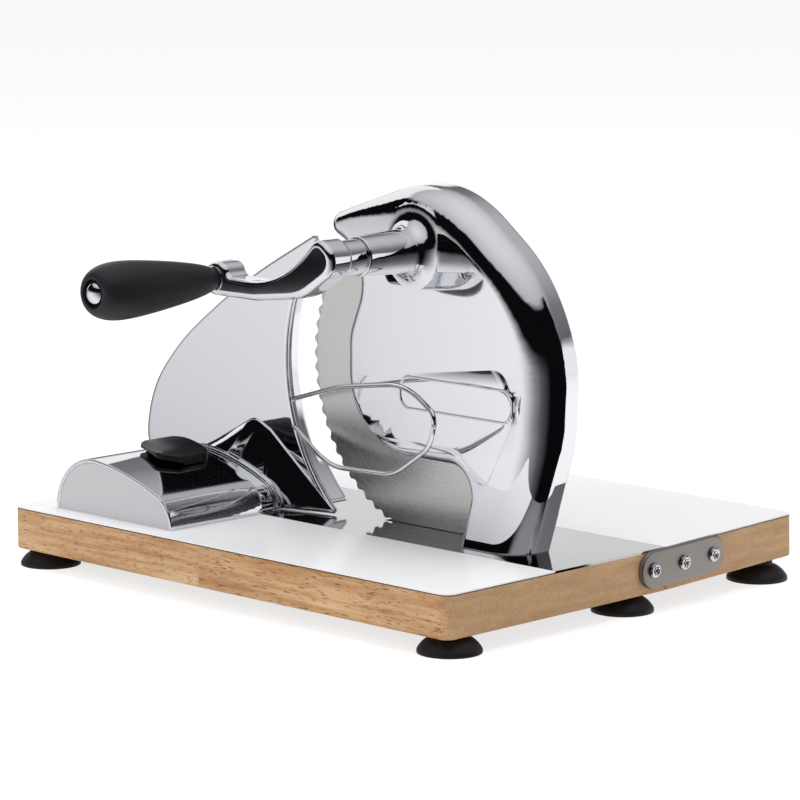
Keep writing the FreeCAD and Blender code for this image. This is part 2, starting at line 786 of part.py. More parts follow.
def gear_steps(centre, teeth, first_tooth):
    """Outline of a spur gear with 20 degree involute teeth, one centred on 'first_tooth'."""
    module = size("gear_module")
    pitch = module * teeth / 2
    base = pitch * math.cos(math.radians(20))
    tip = pitch + module
    root = pitch - 1.25 * module
    flank = max(root, base)
    half_pitch = math.pi / (2 * teeth) - size("gear_play") / (2 * pitch)

    def half_angle(radius):
        lean = math.acos(min(1, base / radius))
        return math.degrees(half_pitch + involute(math.radians(20)) - involute(lean))
    waist = (flank + tip) / 2
    step = 360 / teeth
    steps = []
    for tooth in range(int(teeth)):
        middle = first_tooth + tooth * step
        if root < flank - 0.01:
            steps.append((polar(centre, flank, middle - half_angle(flank)),))
        steps.append((polar(centre, waist, middle - half_angle(waist)),
                      polar(centre, tip, middle - half_angle(tip))))
        steps.append((polar(centre, tip, middle + half_angle(tip)),))
        steps.append((polar(centre, waist, middle + half_angle(waist)),
                      polar(centre, flank, middle + half_angle(flank))))
        if root < flank - 0.01:
            steps.append((polar(centre, root, middle + half_angle(flank)),))
        steps.append((polar(centre, root, middle + step - half_angle(flank)),))
    return polar(centre, root, first_tooth - half_angle(flank)), steps


def spur_gear(label, x, z, teeth, first_tooth, bore):
    """A gear on an axis along Y; its own origin is on the axis, at its front face."""
    body = new_body(label, x, "gear_y", z)
    drawing = sketch(body, "XZ_Plane", "teeth")
    draw(drawing, *gear_steps((0, 0), size(teeth), first_tooth))
    pad(body, drawing, "gear_width", along=1)
    round_cut(body, "XZ_Plane", (("0", "0"),), bore, "0", "gear_width", 1, "bore")
    return body


def blade_group():
    turn = mesh_angle()
    gear = spur_gear("blade_gear", "blade_x", "blade_z", "blade_teeth", turn,
                     "axle_radius + running_fit")
    hub = sketch(gear, "XZ_Plane", "hub", "gear_width - 1")
    circle(hub, "0", "0", "hub_disc")
    circle(hub, "0", "0", "axle_radius + running_fit")
    pad(gear, hub, "blade_y - gear_y - gear_width + 1", along=1, name="Hub")
    pilot = sketch(gear, "XZ_Plane", "pilot", "blade_y - gear_y - 1")
    circle(pilot, "0", "0", "blade_bore")
    circle(pilot, "0", "0", "axle_radius + running_fit")
    pad(gear, pilot, "blade_thick + 1", along=1, name="Pilot")
    spots = [polar((0, 0), 13, 90 + 120 * turn_no) for turn_no in range(3)]
    round_cut(gear, "XZ_Plane", spots, "1.5", "blade_y - gear_y", "6", -1, "threads")

    blade = new_body("blade", "blade_x", "blade_y", "blade_z")
    disc = sketch(blade, "XZ_Plane", "edge")
    outer = size("blade_radius")
    wave = size("blade_wave")
    quarter = 90 / size("blade_waves")
    steps = []
    for crest in range(int(size("blade_waves"))):
        middle = 4 * quarter * crest
        steps.append((polar((0, 0), outer, middle), polar((0, 0), outer - wave, middle + quarter)))
        steps.append((polar((0, 0), outer - 2 * wave, middle + 2 * quarter),
                      polar((0, 0), outer - wave, middle + 3 * quarter)))
    draw(disc, polar((0, 0), outer - wave, -quarter), steps)
    pad(blade, disc, "blade_thick", along=1)
    bevel = sketch(blade, "XY_Plane", "bevel")
    thick = size("blade_thick")
    start = outer - size("blade_bevel")
    outline(bevel, (start, thick), (((outer + 1, 0.25),), ((outer + 1, thick + 1),),
                                    ((start, thick + 1),), ((start, thick),)))
    revolve(blade, bevel, cut=True, name="Bevel")
    round_cut(blade, "XZ_Plane", (("0", "0"),), "blade_bore", "0", "blade_thick", 1, "bore")
    round_cut(blade, "XZ_Plane", spots, "1.6", "0", "blade_thick", 1, "holes")
    seats = [("blade_x + %f" % x, "blade_y + blade_thick", "blade_z + %f" % z) for x, z in spots]
    screws("blade_screws", seats, -ALONG_Y, (2.7, 1.6), (1.5, 6))


# ---------------------------------------------------------------- crank and grip

# Front view of the arm, anticlockwise from the grip's end: x, z and the corner's radius.
ARM = (
    (-28.9, 151.3, 8.1), (7.9, 151, 40), (39.8, 155, 32), (58.4, 167.2, 12), (64.7, 176.2, 8.7),
    (50.9, 186.7, 6.9), (42.5, 177.1, 60), (19.8, 159.6, 56), (-11.3, 161.2, 4.2),
    (-13.9, 167.7, 5.8), (-28.9, 167.7, 8.1),
)
GRIP_SHAPE = (
    (0, 5.2), (3, 6.4), (8, 7.8), (15, 9.2), (28, 11.2), (43, 13), (57, 14.1), (66, 13.9),
    (73, 12.2), (76.5, 9.8), (77.5, 7.6),
)


def crank():
    spur_gear("crank_gear", "crank_x", CRANK_Z, "crank_teeth",
              mesh_angle() + 180 + 180 / size("crank_teeth"), "shaft_radius")
    ring("crank_shaft", "crank_x", "arm_front + 3", CRANK_Z, "0", "shaft_radius",
         "gear_y + gear_width + 0.4 - arm_front - 3")
    arm = new_body("crank_arm")
    face = sketch(arm, "XZ_Plane", "outline", "arm_front")
    outline(face, *rounded(ARM))
    pad(arm, face, "arm_thick", along=1)
    front = size("arm_front")
    soften(arm, lambda edge, mid: abs(mid.y - front) < 0.01, "arm_round", name="Rim")
    back = front + size("arm_thick")
    soften(arm, lambda edge, mid: abs(mid.y - back) < 0.01, "1.5", name="Back_rim")
    sleeve = sketch(arm, "XZ_Plane", "sleeve", "arm_front + 5")
    circle(sleeve, "crank_x", CRANK_Z, "sleeve_radius")
    pad(arm, sleeve, "sleeve_end - arm_front - 5", along=1, name="Sleeve")
    round_cut(arm, "XZ_Plane", (("crank_x", CRANK_Z),), "shaft_radius",
              "arm_front + 3", "60", 1, "shaft_seat")
    round_cut(arm, "XZ_Plane", (("grip_x", "grip_z"),), "pin_radius", "arm_front", "11", 1, "pin_seat")
    round_cut(arm, "XY_Plane", (("crank_x", "sleeve_end - 4.5"),), "2",
              CRANK_Z, "20", -1, "grub_seat")
    grub = Part.makeCylinder(2, 3.4, Vector(size("crank_x"), size("sleeve_end") - 4.5,
                                            crank_z() - size("shaft_radius") - 3.45))
    loose("crank_grub_screw", grub)


def grip():
    body = new_body("grip", "grip_x", "grip_front", "grip_z")
    profile = sketch(body, "XY_Plane", "profile")
    shape = Part.BSplineCurve()
    shape.interpolate([Vector(radius, -far, 0) for far, radius in GRIP_SHAPE])
    profile.addGeometry(shape, False)
    far, rim = GRIP_SHAPE[-1]
    bore = size("pin_radius") + size("running_fit")
    near = GRIP_SHAPE[0][1]
    outline(profile, (rim, -far), (
        ((rim - 0.6, -far),), ((rim - 0.9, -far + 3.6),), ((bore, -far + 3.6),), ((bore, 0),),
        ((near, 0),)))
    revolve(body, profile)
    reach = "%f" % (far - 3.4)
    ring("grip_pin", "grip_x", "grip_front - %s" % reach, "grip_z", "0", "pin_radius",
         "%s + grip_front * -1 + arm_front + 0.5 + 10" % reach, 0.2)
    ring("grip_washer", "grip_x", "arm_front - 0.4", "grip_z", "pin_radius", "6.4", "0.4", 0.1)
    nut = new_body("dome_nut", "grip_x", "grip_front - %s" % reach, "grip_z")
    cap = sketch(nut, "XY_Plane", "profile")
    width = size("nut_radius")
    wall, rise = 2.4, 2.8
    ball = (width ** 2 + rise ** 2) / (2 * rise)
    half = math.asin(width / ball) / 2
    outline(cap, (0, 0), (
        ((width, 0),), ((width, -wall),),
        ((ball * math.sin(half), ball - wall - rise - ball * math.cos(half)), (0, -wall - rise)),
        ((0, 0),)))
    revolve(nut, cap)


# ---------------------------------------------------------------- thickness adjuster


def dome(grow, lift=0.0):
    """Three tangent arcs, left to right, 'grow' outside the drum's skin, as (start, via, end)."""
    left_radius = size("dome_left") + grow
    top_radius = size("dome_top") + grow
    right_radius = size("dome_right") + grow
    base = size("table_z")
    turn = size("dome_turn")
    left = (size("drum_x"), base)
    top = polar(left, size("dome_left") - size("dome_top"), turn)
    reach = size("dome_top") - size("dome_right")
    right = (top[0] + math.sqrt(reach ** 2 - (base - top[1]) ** 2), base)
    second = math.degrees(math.atan2(base - top[1], right[0] - top[0]))
    start = 180 - math.degrees(math.asin(lift / left_radius))
    finish = math.degrees(math.asin(lift / right_radius))
    arcs = ((left, left_radius, start, turn), (top, top_radius, turn, second),
            (right, right_radius, second, finish))
    return [tuple(polar(centre, radius, angle) for angle in (first, (first + last) / 2, last))
            for centre, radius, first, last in arcs]


def dome_solid(drawing, grow, lift=0.0):
    """The whole D under a dome."""
    arcs = dome(grow, lift)
    outline(drawing, arcs[0][0], [arc[1:] for arc in arcs] + [(arcs[0][0],)])


def dome_skin(drawing, outer, inner, lift=0.0):
    """The wall between two domes, open at the bottom."""
    over = dome(outer, lift)
    under = [arc[::-1] for arc in dome(inner, lift)[::-1]]
    steps = [arc[1:] for arc in over] + [(under[0][0],)]
    steps += [arc[1:] for arc in under] + [(over[0][0],)]
    outline(drawing, over[0][0], steps)


RODS = (("-118", "37.5"), ("-67", "37.5"))
# Front view of the block under the lever, with the two ears that hold the lever's pin.
ROD_SUPPORT = (
    (-124, 31, 0), (-61.5, 31, 0), (-61.5, 42, 2), (-84, 42, 1), (-84, 50.6, 2), (-89.4, 50.6, 2),
    (-89.4, 42, 1), (-102.6, 42, 1), (-102.6, 50.6, 2), (-108, 50.6, 2), (-108, 42, 1), (-124, 42, 2),
)


def drum():
    cover = new_body("drum_cover")
    skin = sketch(cover, "XZ_Plane", "skin", "drum_front")
    dome_skin(skin, 0, -size("drum_wall"))
    pad(cover, skin, "drum_rear - drum_front", along=1)
    front, rear = size("drum_front"), size("drum_rear")

    def end_rim(edge, mid):
        outer = abs(edge.Length) > 20
        return outer and (abs(mid.y - front) < 0.01 or abs(mid.y - rear) < 0.01)
    soften(cover, end_rim, "0.6", name="Rims")
    window = ("lever_x - 6.5", "lever_y - 6.5", "lever_x + 6.5", "lever_y + 6.5")
    rectangle_cut(cover, "XY_Plane", window, "table_z + 40", "20", -1, "lever_slot")

    end = new_body("drum_end_plate")
    face = sketch(end, "XZ_Plane", "face", "drum_front + 0.5")
    dome_solid(face, -size("drum_wall") - 0.05)
    pad(end, face, "1.5", along=1)
    bosses = sketch(end, "XZ_Plane", "bosses", "drum_front + 1")
    for x, z in RODS:
        circle(bosses, x, z, "5.5")
    pad(end, bosses, "5", along=1, name="Bosses")
    round_cut(end, "XZ_Plane", RODS, "rod_radius", "drum_front + 2", "5", 1, "rod_seats")

    support = new_body("rod_support")
    block = sketch(support, "XZ_Plane", "block", "lever_y - 4")
    outline(block, *rounded(ROD_SUPPORT))
    pad(support, block, "8", along=1)
    round_cut(support, "XZ_Plane", RODS, "rod_radius", "lever_y - 4", "8", 1, "rod_holes")
    round_cut(support, "YZ_Plane", (("lever_y", "lever_z"),), "2", "-110", "30", 1, "pin_holes")
    round_cut(support, "XY_Plane", SUPPORT_SCREWS, "1.9", "table_z", "8", 1, "threads")

    rods = []
    for x, z in RODS:
        start = Vector(float(x), size("drum_front") + 2, float(z))
        reach = size("lever_y") + 4.5 - start.y
        rods.append(Part.makeCylinder(size("rod_radius"), reach, start, ALONG_Y))
    loose("guide_rods", Part.makeCompound(rods))
    seats = [(x, y, "table_z - 14") for x, y in SUPPORT_SCREWS]
    screws("support_screws", seats, UP, (3.6, 2.2), (1.9, 22))


# Front views of the bracket's two ends, anticlockwise: x, z and the corner's radius.
BRACKET_SMALL = ((-130, 31.6, 1), (-50, 31.6, 1), (-60, 46.5, 6), (-84, 55, 20), (-122, 53, 12))
BRACKET_LARGE = ((-128, 31.6, 1), (-15, 31.6, 1), (-64, 70, 5), (-76, 75.5, 10), (-112, 56.5, 25))


def slide():
    outer = -size("drum_wall") - size("slide_gap")
    inner = outer - size("slide_wall")
    tube = new_body("slide_tube")
    skin = sketch(tube, "XZ_Plane", "skin", "slide_front")
    dome_skin(skin, outer, inner, 0.5)
    pad(tube, skin, "ring_front - slide_front", along=1)
    rectangle_cut(tube, "XY_Plane", ("lever_x - 7", "slide_front - 1", "lever_x + 7", "lever_y + 15"),
                  "table_z + 40", "20", -1, "lever_slot")

    carriage = new_body("guide_carriage")
    block = sketch(carriage, "XZ_Plane", "block", "slide_front + 4")
    dome_solid(block, inner - 0.02, 0.6)
    pad(carriage, block, "8", along=1)
    round_cut(carriage, "XZ_Plane", RODS, "rod_radius + running_fit",
              "slide_front + 4", "8", 1, "rod_holes")
    rectangle_cut(carriage, "XZ_Plane", ("lever_x - 8", "43.5", "lever_x + 8", "70"),
                  "slide_front + 4", "8", 1, "lever_notch")

    flange = new_body("ring_flange")
    disc = sketch(flange, "XZ_Plane", "disc", "ring_front")
    dome_solid(disc, -1.2, 0.5)
    pad(flange, disc, "bracket_front - ring_front", along=1)

    bracket = new_body("plate_bracket")
    small = sketch(bracket, "XZ_Plane", "small_end", "bracket_front")
    outline(small, *rounded(BRACKET_SMALL))
    large = sketch(bracket, "XZ_Plane", "large_end", "plate_y")
    outline(large, *rounded(BRACKET_LARGE))
    loft = bracket.newObject("PartDesign::AdditiveLoft", "plate_bracket_Loft")
    loft.Profile = small
    loft.Sections = [large]
    loft.Ruled = True
    bracket.Tip = loft
    doc.recompute()
    round_cut(bracket, "XZ_Plane", PLATE_SCREWS, "1.6", "plate_y", "4.2", -1, "threads")


# Front view of the stop plate, anticlockwise from its foot: x, z and the corner's radius.
STOP_PLATE = (
    (-16.1, 32.2, 1), (-88.6, 97, 100), (-24.6, 177.3, 2), (-87.2, 144.1, 400),
    (-133.2, 109.5, 146), (-156.5, 81, 62), (-163.6, 32.2, 26),
)
PLATE_SCREWS = (("-108", "44"), ("-84", "54"), ("-58", "42"))
GUARD = ((49, 101, 150), (125.4, 113.4, 77), (156.1, 102.9, 6), (153.7, 87.8, 20),
         (111.8, 66.8, 67), (37.7, 58.8, 84))
GUARD_ENDS = ((-7.5, 86.2), (-7, 74.6))


def flange_band(low, high):
    """Outline of the plate's turned edge between two directions from the arc's centre."""
    centre = (48.5, 108.5)
    inner = size("plate_arc") + 0.02
    outer = size("plate_arc") + size("flange_wall")
    middle = (low + high) / 2
    return polar(centre, inner, high), (
        (polar(centre, inner, middle), polar(centre, inner, low)),
        (polar(centre, outer, low),),
        (polar(centre, outer, middle), polar(centre, outer, high)),
        (polar(centre, inner, high),))


def stop_plate():
    plate = new_body("stop_plate")
    face = sketch(plate, "XZ_Plane", "outline", "plate_y")
    outline(face, *rounded(STOP_PLATE[::-1]))
    pad(plate, face, "plate_thick", along=1)
    lip = sketch(plate, "XZ_Plane", "flange", "plate_y + 0.5")
    outline(lip, *flange_band(225.5, 143.5))
    pad(plate, lip, "plate_thick + plate_flange - 0.5", along=1, name="Flange")
    foot = sketch(plate, "XZ_Plane", "flange_foot", "plate_y + 0.5")
    outline(foot, *flange_band(225.5, 212))
    pad(plate, foot, "plate_thick + 2 * plate_flange - 0.5", along=1, name="Flange_foot")
    round_cut(plate, "XZ_Plane", PLATE_SCREWS, "1.6", "plate_y", "plate_thick", 1, "holes")
    seats = [(x, "plate_y + plate_thick", z) for x, z in PLATE_SCREWS]
    screws("plate_screws", seats, -ALONG_Y, (3, 1.2), (1.6, 6))


def wire_guard():
    body = new_body("wire_guard")
    body.Placement = Placement(Vector(), Rotation(UP, size("wire_turn")))
    place(body, "wire_x", "plate_y", 0)
    path = sketch(body, "XZ_Plane", "path")
    start, end = GUARD_ENDS
    chain = [start + (0,)] + list(GUARD) + [end + (0,)]
    here = Vector(start[0], start[1], 0)
    for turn in range(1, len(chain) - 1):
        enter, middle, leave = corner_arc(chain[turn - 1], chain[turn], chain[turn + 1])
        if (enter - here).Length > 0.01:
            path.addGeometry(Part.LineSegment(here, enter), False)
        path.addGeometry(Part.Arc(enter, middle, leave), False)
        here = leave
    path.addGeometry(Part.LineSegment(here, Vector(end[0], end[1], 0)), False)
    section = sketch(body, "YZ_Plane", "section", start[0])
    circle(section, "0", start[1], "wire_radius")
    pipe = body.newObject("PartDesign::AdditivePipe", "wire_guard_Pipe")
    pipe.Profile = section
    pipe.Spine = path
    pipe.Mode = "Frenet"
    body.Tip = pipe
    doc.recompute()


# Plan of the thumb lever, anticlockwise: x, y and the corner's radius.
LEVER_PLAN = ((-84, -90, 5), (-77, -80, 5), (-78, -58, 7), (-107, -56, 7), (-107, -83, 5))


def lever():
    """The thumb lever: a low hump over the drum, on a stem that rocks on a pin inside it."""
    body = new_body("lock_lever")
    front = min(corner[1] for corner in LEVER_PLAN) - 2
    rear = max(corner[1] for corner in LEVER_PLAN) + 2
    crown = size("lever_crown")
    hump = sketch(body, "XZ_Plane", "hump", front)
    saddle_section(hump, size("lever_gap"), crown, 0.62)
    pad(body, hump, rear - front, along=1)
    plan = sketch(body, "XY_Plane", "plan", "lever_z")
    outline(plan, *rounded(LEVER_PLAN))
    doc.recompute()
    rim = plan.Shape.copy()
    rectangle(plan, "lever_x - 30", front - 1, "lever_x + 40", rear + 1)
    pocket(body, plan, "30", along=1, name="Plan")

    def top_rim(edge, mid):
        on_plan = rim.distToShape(Part.Vertex(mid.x, mid.y, size("lever_z")))[0] < 0.05
        return on_plan and above_drum(mid.x, mid.z) > crown - 0.2
    soften(body, top_rim, "2", name="Rim")
    rest = sketch(body, "YZ_Plane", "thumb_rest", "lever_x - 20")
    circle(rest, "thumb_y", "thumb_z", "thumb_radius")
    pocket(body, rest, "50", along=1, name="Thumb_rest")
    relief = sketch(body, "XZ_Plane", "relief", front)
    saddle_section(relief, -1, 2.2, 0.7)
    pocket(body, relief, "lever_y - 8 - (%s)" % front, along=1, name="Relief")
    stem = sketch(body, "XZ_Plane", "stem", "lever_y - 4")
    outline(stem, *rounded(((size("lever_x") - 5, 44, 0), (size("lever_x") + 5, 44, 0),
                            (size("lever_x") + 5, 61, 0), (size("lever_x") - 5, 61, 0))))
    pad(body, stem, "8", along=1, name="Stem")
    round_cut(body, "YZ_Plane", (("lever_y", "lever_z"),), "2 + running_fit",
              "lever_x - 6", "12", 1, "pin_bore")

    pin = doc.addObject("Part::Cylinder", "lever_pin")
    bind(pin, "Radius", "2")
    bind(pin, "Height", "24")
    pin.Placement = Placement(Vector(), Rotation(ALONG_Y, 90))
    place(pin, "lever_x - 12", "lever_y", "lever_z")
    keep(pin, "lever_pin")

    spring = new_body("lever_spring")
    leaf = sketch(spring, "YZ_Plane", "leaf", "lever_x - 4")
    rear, front = size("lever_y") + 4, size("lever_y") - 4.4
    outline(leaf, (rear, 42), (
        ((rear - 3, 42),), ((rear - 6, 42.3), (front, 42.8)), ((front, 43.2),),
        ((rear - 6, 42.7), (rear - 3, 42.4)), ((rear, 42.4),), ((rear, 42),)))
    pad(spring, leaf, "8", along=1)


def saddle_section(drawing, low, high, share):
    """The band between two heights over the drum's skin, from its crown rightwards."""
    left = (size("drum_x"), size("table_z"))
    radius = size("dome_left")
    outline(drawing, polar(left, radius + low, 106), (
        (polar(left, radius + low, 95), dome(low)[1][0]),
        (dome_at(low, share * 0.7), dome_at(low, share)),
        (dome_at(high - 1, share),),
        (dome_at(high, share * 0.7), dome(high)[1][0]),
        (polar(left, radius + high, 95), polar(left, radius + high, 106)),
        (polar(left, radius + low, 106),)))


def above_drum(x, z):
    """How far a point stands outside the drum's skin, over its left and middle arcs."""
    left = (size("drum_x"), size("table_z"))
    top = polar(left, size("dome_left") - size("dome_top"), size("dome_turn"))
    if x < polar(left, size("dome_left"), size("dome_turn"))[0]:
        return math.hypot(x - left[0], z - left[1]) - size("dome_left")
    return math.hypot(x - top[0], z - top[1]) - size("dome_top")


def dome_at(grow, share):
    """A point on the drum's long middle arc: share 0 at its left end, 1 at its right."""
    turn = size("dome_turn")
    left = (size("drum_x"), size("table_z"))
    top = polar(left, size("dome_left") - size("dome_top"), turn)
    reach = size("dome_top") - size("dome_right")
    second = math.degrees(math.acos(math.sqrt(reach ** 2 - (size("table_z") - top[1]) ** 2) / reach))
    return polar(top, size("dome_top") + grow, turn + (second - turn) * share)


front_board()
facing_sheets()
rear_board()
splices()
feet()
blade_housing()
housing_screws()
gear_cover()
bearings()
blade_group()
crank()
grip()
drum()
slide()
stop_plate()
wire_guard()
lever()

# ---------------------------------------------------------------- write the files

doc.recompute()
for item in doc.Objects:
    if "Invalid" in item.State or "Error" in item.State:
        raise RuntimeError("%s did not build: %s" % (item.Label, item.State))
os.makedirs("parts", exist_ok=True)
for item in parts:
    shape = item.Shape
    if shape.isNull() or not shape.isValid():
        raise RuntimeError("%s has no valid shape" % item.Label)
    shape.exportStep("parts/%s.step" % item.Label)
    box = shape.BoundBox
    print("%-22s %2d solid %8.1f cm3  x %7.1f %7.1f  y %7.1f %7.1f  z %6.1f %6.1f" % (
        item.Label, len(shape.Solids), shape.Volume / 1000, box.XMin, box.XMax,
        box.YMin, box.YMax, box.ZMin, box.ZMax))
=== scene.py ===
import json
import math

import bmesh
import bpy
from bpy.props import FloatProperty, FloatVectorProperty, IntProperty, PointerProperty
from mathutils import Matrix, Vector

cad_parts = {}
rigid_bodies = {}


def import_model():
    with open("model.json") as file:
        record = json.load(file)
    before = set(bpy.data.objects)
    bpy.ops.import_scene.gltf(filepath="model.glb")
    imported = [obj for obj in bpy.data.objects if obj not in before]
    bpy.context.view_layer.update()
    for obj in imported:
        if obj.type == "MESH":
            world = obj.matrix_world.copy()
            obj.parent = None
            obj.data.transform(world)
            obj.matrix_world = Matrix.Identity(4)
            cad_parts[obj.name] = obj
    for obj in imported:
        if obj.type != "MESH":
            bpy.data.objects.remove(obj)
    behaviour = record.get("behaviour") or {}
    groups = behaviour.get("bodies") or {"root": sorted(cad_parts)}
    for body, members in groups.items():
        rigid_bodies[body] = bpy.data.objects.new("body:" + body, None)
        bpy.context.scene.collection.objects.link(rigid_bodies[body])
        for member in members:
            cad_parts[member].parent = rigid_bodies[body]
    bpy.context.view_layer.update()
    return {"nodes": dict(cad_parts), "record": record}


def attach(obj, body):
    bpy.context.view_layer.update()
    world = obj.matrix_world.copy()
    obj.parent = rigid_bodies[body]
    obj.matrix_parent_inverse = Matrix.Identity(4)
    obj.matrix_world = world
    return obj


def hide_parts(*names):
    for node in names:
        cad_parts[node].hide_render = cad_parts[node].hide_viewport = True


bl_info = {
    "name": "Hand-Cranked Bread Slicer",
    "version": (1, 0, 0),
    "blender": (4, 5, 0),
    "location": "View3D > Sidebar > Bread Slicer",
    "description": "Finishes, trim and studio for a hand-cranked bread slicer on a wooden board",
    "category": "Object",
}

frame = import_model()
CAD = frame["nodes"]
BODY_OF = {node: body for body, nodes in frame["record"]["behaviour"]["bodies"].items()
           for node in nodes}

MM = 0.001
WHITE = "#FFFFFF"

# Board: its middle lies FRAME_Y behind the origin, and the rear half leans up from the joint.
FRAME_Y = 30.1 * MM
BOARD_TOP = 31 * MM
JOINT = Vector((0, FRAME_Y + 26.6 * MM, BOARD_TOP))
REAR_TILT = math.radians(1.7)
GLUE_LINE = 0.66 * MM
# Glued staves: their size, and, in staves, where the rows start and how far each is shifted.
STAVE_WIDTH, STAVE_LENGTH = 43 * MM, 228 * MM
ROW_START, ROW_SHIFT = 40.97, 0.37

# Housing: the middle and radius of its crowned face, and the plaque on it.
FACE_CENTRE, FACE_RADIUS = (70 * MM, 115 * MM), 760 * MM
PLAQUE_X, PLAQUE_Y, PLAQUE_Z = 82.5 * MM, -46.1 * MM, 104 * MM
PLAQUE_LENGTH, PLAQUE_HEIGHT, PLAQUE_ROUND = 76 * MM, 17 * MM, 7 * MM
CORNER_STEPS, BEAD_STEPS = 12, 3

# Thickness adjuster: the slide tube's crown, the scale on it and the stop plate's turned edge.
TUBE_CENTRE_X, TUBE_CENTRE_Z, TUBE_RADIUS = -117.87 * MM, -89.54 * MM, 147.2 * MM
MARK_X, MARK_START = -81 * MM, -60 * MM
MARK_SIZE, MARK_CHAMFER = (4 * MM, 0.3 * MM, 0.1 * MM), 0.03 * MM
ARC_CENTRE, ARC_RADIUS = (48.5 * MM, 108.5 * MM), 100 * MM
PLATE_FRONT, PLATE_BEND = FRAME_Y - 29.6 * MM, 3 * MM

BLADE_CENTRE = Vector((46 * MM, FRAME_Y - 19.4 * MM, 111.5 * MM))

# Screws: lobes and sides of the star recess, its mean radius and its swing as shares.
STAR_LOBES, STAR_SIDES, STAR_MEAN, STAR_SWING = 6, 24, 0.84, 0.16

# Copies of the CAD: how near corners are welded, up to which angle faces are joined, and from
# which angle on an edge is rounded, in how many steps.
WELD, JOIN_ANGLE, EDGE_ANGLE, EDGE_STEPS = 0.002 * MM, math.radians(0.3), math.radians(50), 3

# Studio, in metres and degrees: floor, lamps, and the card that only mirrors see.
WORLD_FILL = 0.55
FLOOR_RADIUS, FLOOR_DROP = 12.0, 0.05 * MM
LAMP_AIM = Vector((0, 0, 0.1))
OVERHEAD_PLACE, OVERHEAD_WIDTH = (0.1, 0.15, 2.3), 2.4
FRONT_PLACE, FRONT_WIDTH = (-0.9, -1.5, 1.1), 1.0
CARD_PLACE, CARD_REACH = (0.13, 0, 0.5 * MM), 131.0
CARD_INNER, CARD_RADIUS, CARD_HEIGHT = 0.03, 2.6, 2.6
# Camera: the width of its sensor in millimetres, and how far it sees in metres.
SENSOR_WIDTH, VIEW_DEPTH = 36, 30


# ---------------------------------------------------------------- colour and nodes


def linear(code):
    """An sRGB hex colour as the linear RGBA that shaders take."""
    channels = [int(code[at:at + 2], 16) / 255 for at in (1, 3, 5)]
    return [c / 12.92 if c <= 0.04045 else ((c + 0.055) / 1.055) ** 2.4 for c in channels] + [1.0]


def add_node(tree, kind, settings=None, links=None, stops=()):
    """Add a shader node.

    Settings go to its inputs or properties, links to its inputs, and stops, each a position
    and a linear colour, to its colour ramp.
    """
    node = tree.nodes.new(kind)
    for key, value in (settings or {}).items():
        if isinstance(key, str) and hasattr(node, key) and key not in node.inputs:
            setattr(node, key, value)
        else:
            node.inputs[key].default_value = value
    for key, source in (links or {}).items():
        tree.links.new(source, node.inputs[key])
    while stops and len(node.color_ramp.elements) < len(stops):
        node.color_ramp.elements.new(0.5)
    for number, (position, colour) in enumerate(stops):
        node.color_ramp.elements[number].position = position
        node.color_ramp.elements[number].color = colour
    return node


def new_material(name, colour, sockets):
    """A material on one Principled shader with its constants set on the shader's own sockets."""
    material = bpy.data.materials.new(name)
    material.use_nodes = True
    shader = material.node_tree.nodes["Principled BSDF"]
    shader.inputs["Base Color"].default_value = colour
    for socket, value in sockets.items():
        shader.inputs[socket].default_value = value
    return material, material.node_tree, shader


def raise_surface(tree, shader, height, strength, distance):
    """Raise the shader's surface by a height pattern; distance is the full height in metres."""
    node = add_node(tree, "ShaderNodeBump", {"Strength": strength, "Distance": distance},
                    {"Height": height})
    tree.links.new(node.outputs["Normal"], shader.inputs["Normal"])
    return node


def placed(tree, turn=(0, 0, 0), shift=(0, 0, 0)):
    """Object coordinates, moved and turned."""
    where = add_node(tree, "ShaderNodeTexCoord")
    node = add_node(tree, "ShaderNodeMapping", {"Location": shift, "Rotation": turn},
                    {"Vector": where.outputs["Object"]})
    return node.outputs["Vector"]


def from_axis(tree, offset):
    """An offset as it is seen from the front, without its part along Y."""
    flat = add_node(tree, "ShaderNodeVectorMath", {"operation": "MULTIPLY", 1: (1, 0, 1)},
                    {0: offset})
    return flat.outputs["Vector"]


def vary_roughness(tree, shader, pattern, low, high):
    """Let a pattern vary the shader's roughness between two values."""
    spread = add_node(tree, "ShaderNodeMapRange", {"To Min": low, "To Max": high},
                      {"Value": pattern})
    tree.links.new(spread.outputs["Result"], shader.inputs["Roughness"])


def per_mm(*sizes):
    """Pattern scales, one feature for each of the sizes in millimetres."""
    return tuple(1 / (size * MM) for size in sizes)


# ---------------------------------------------------------------- finishes


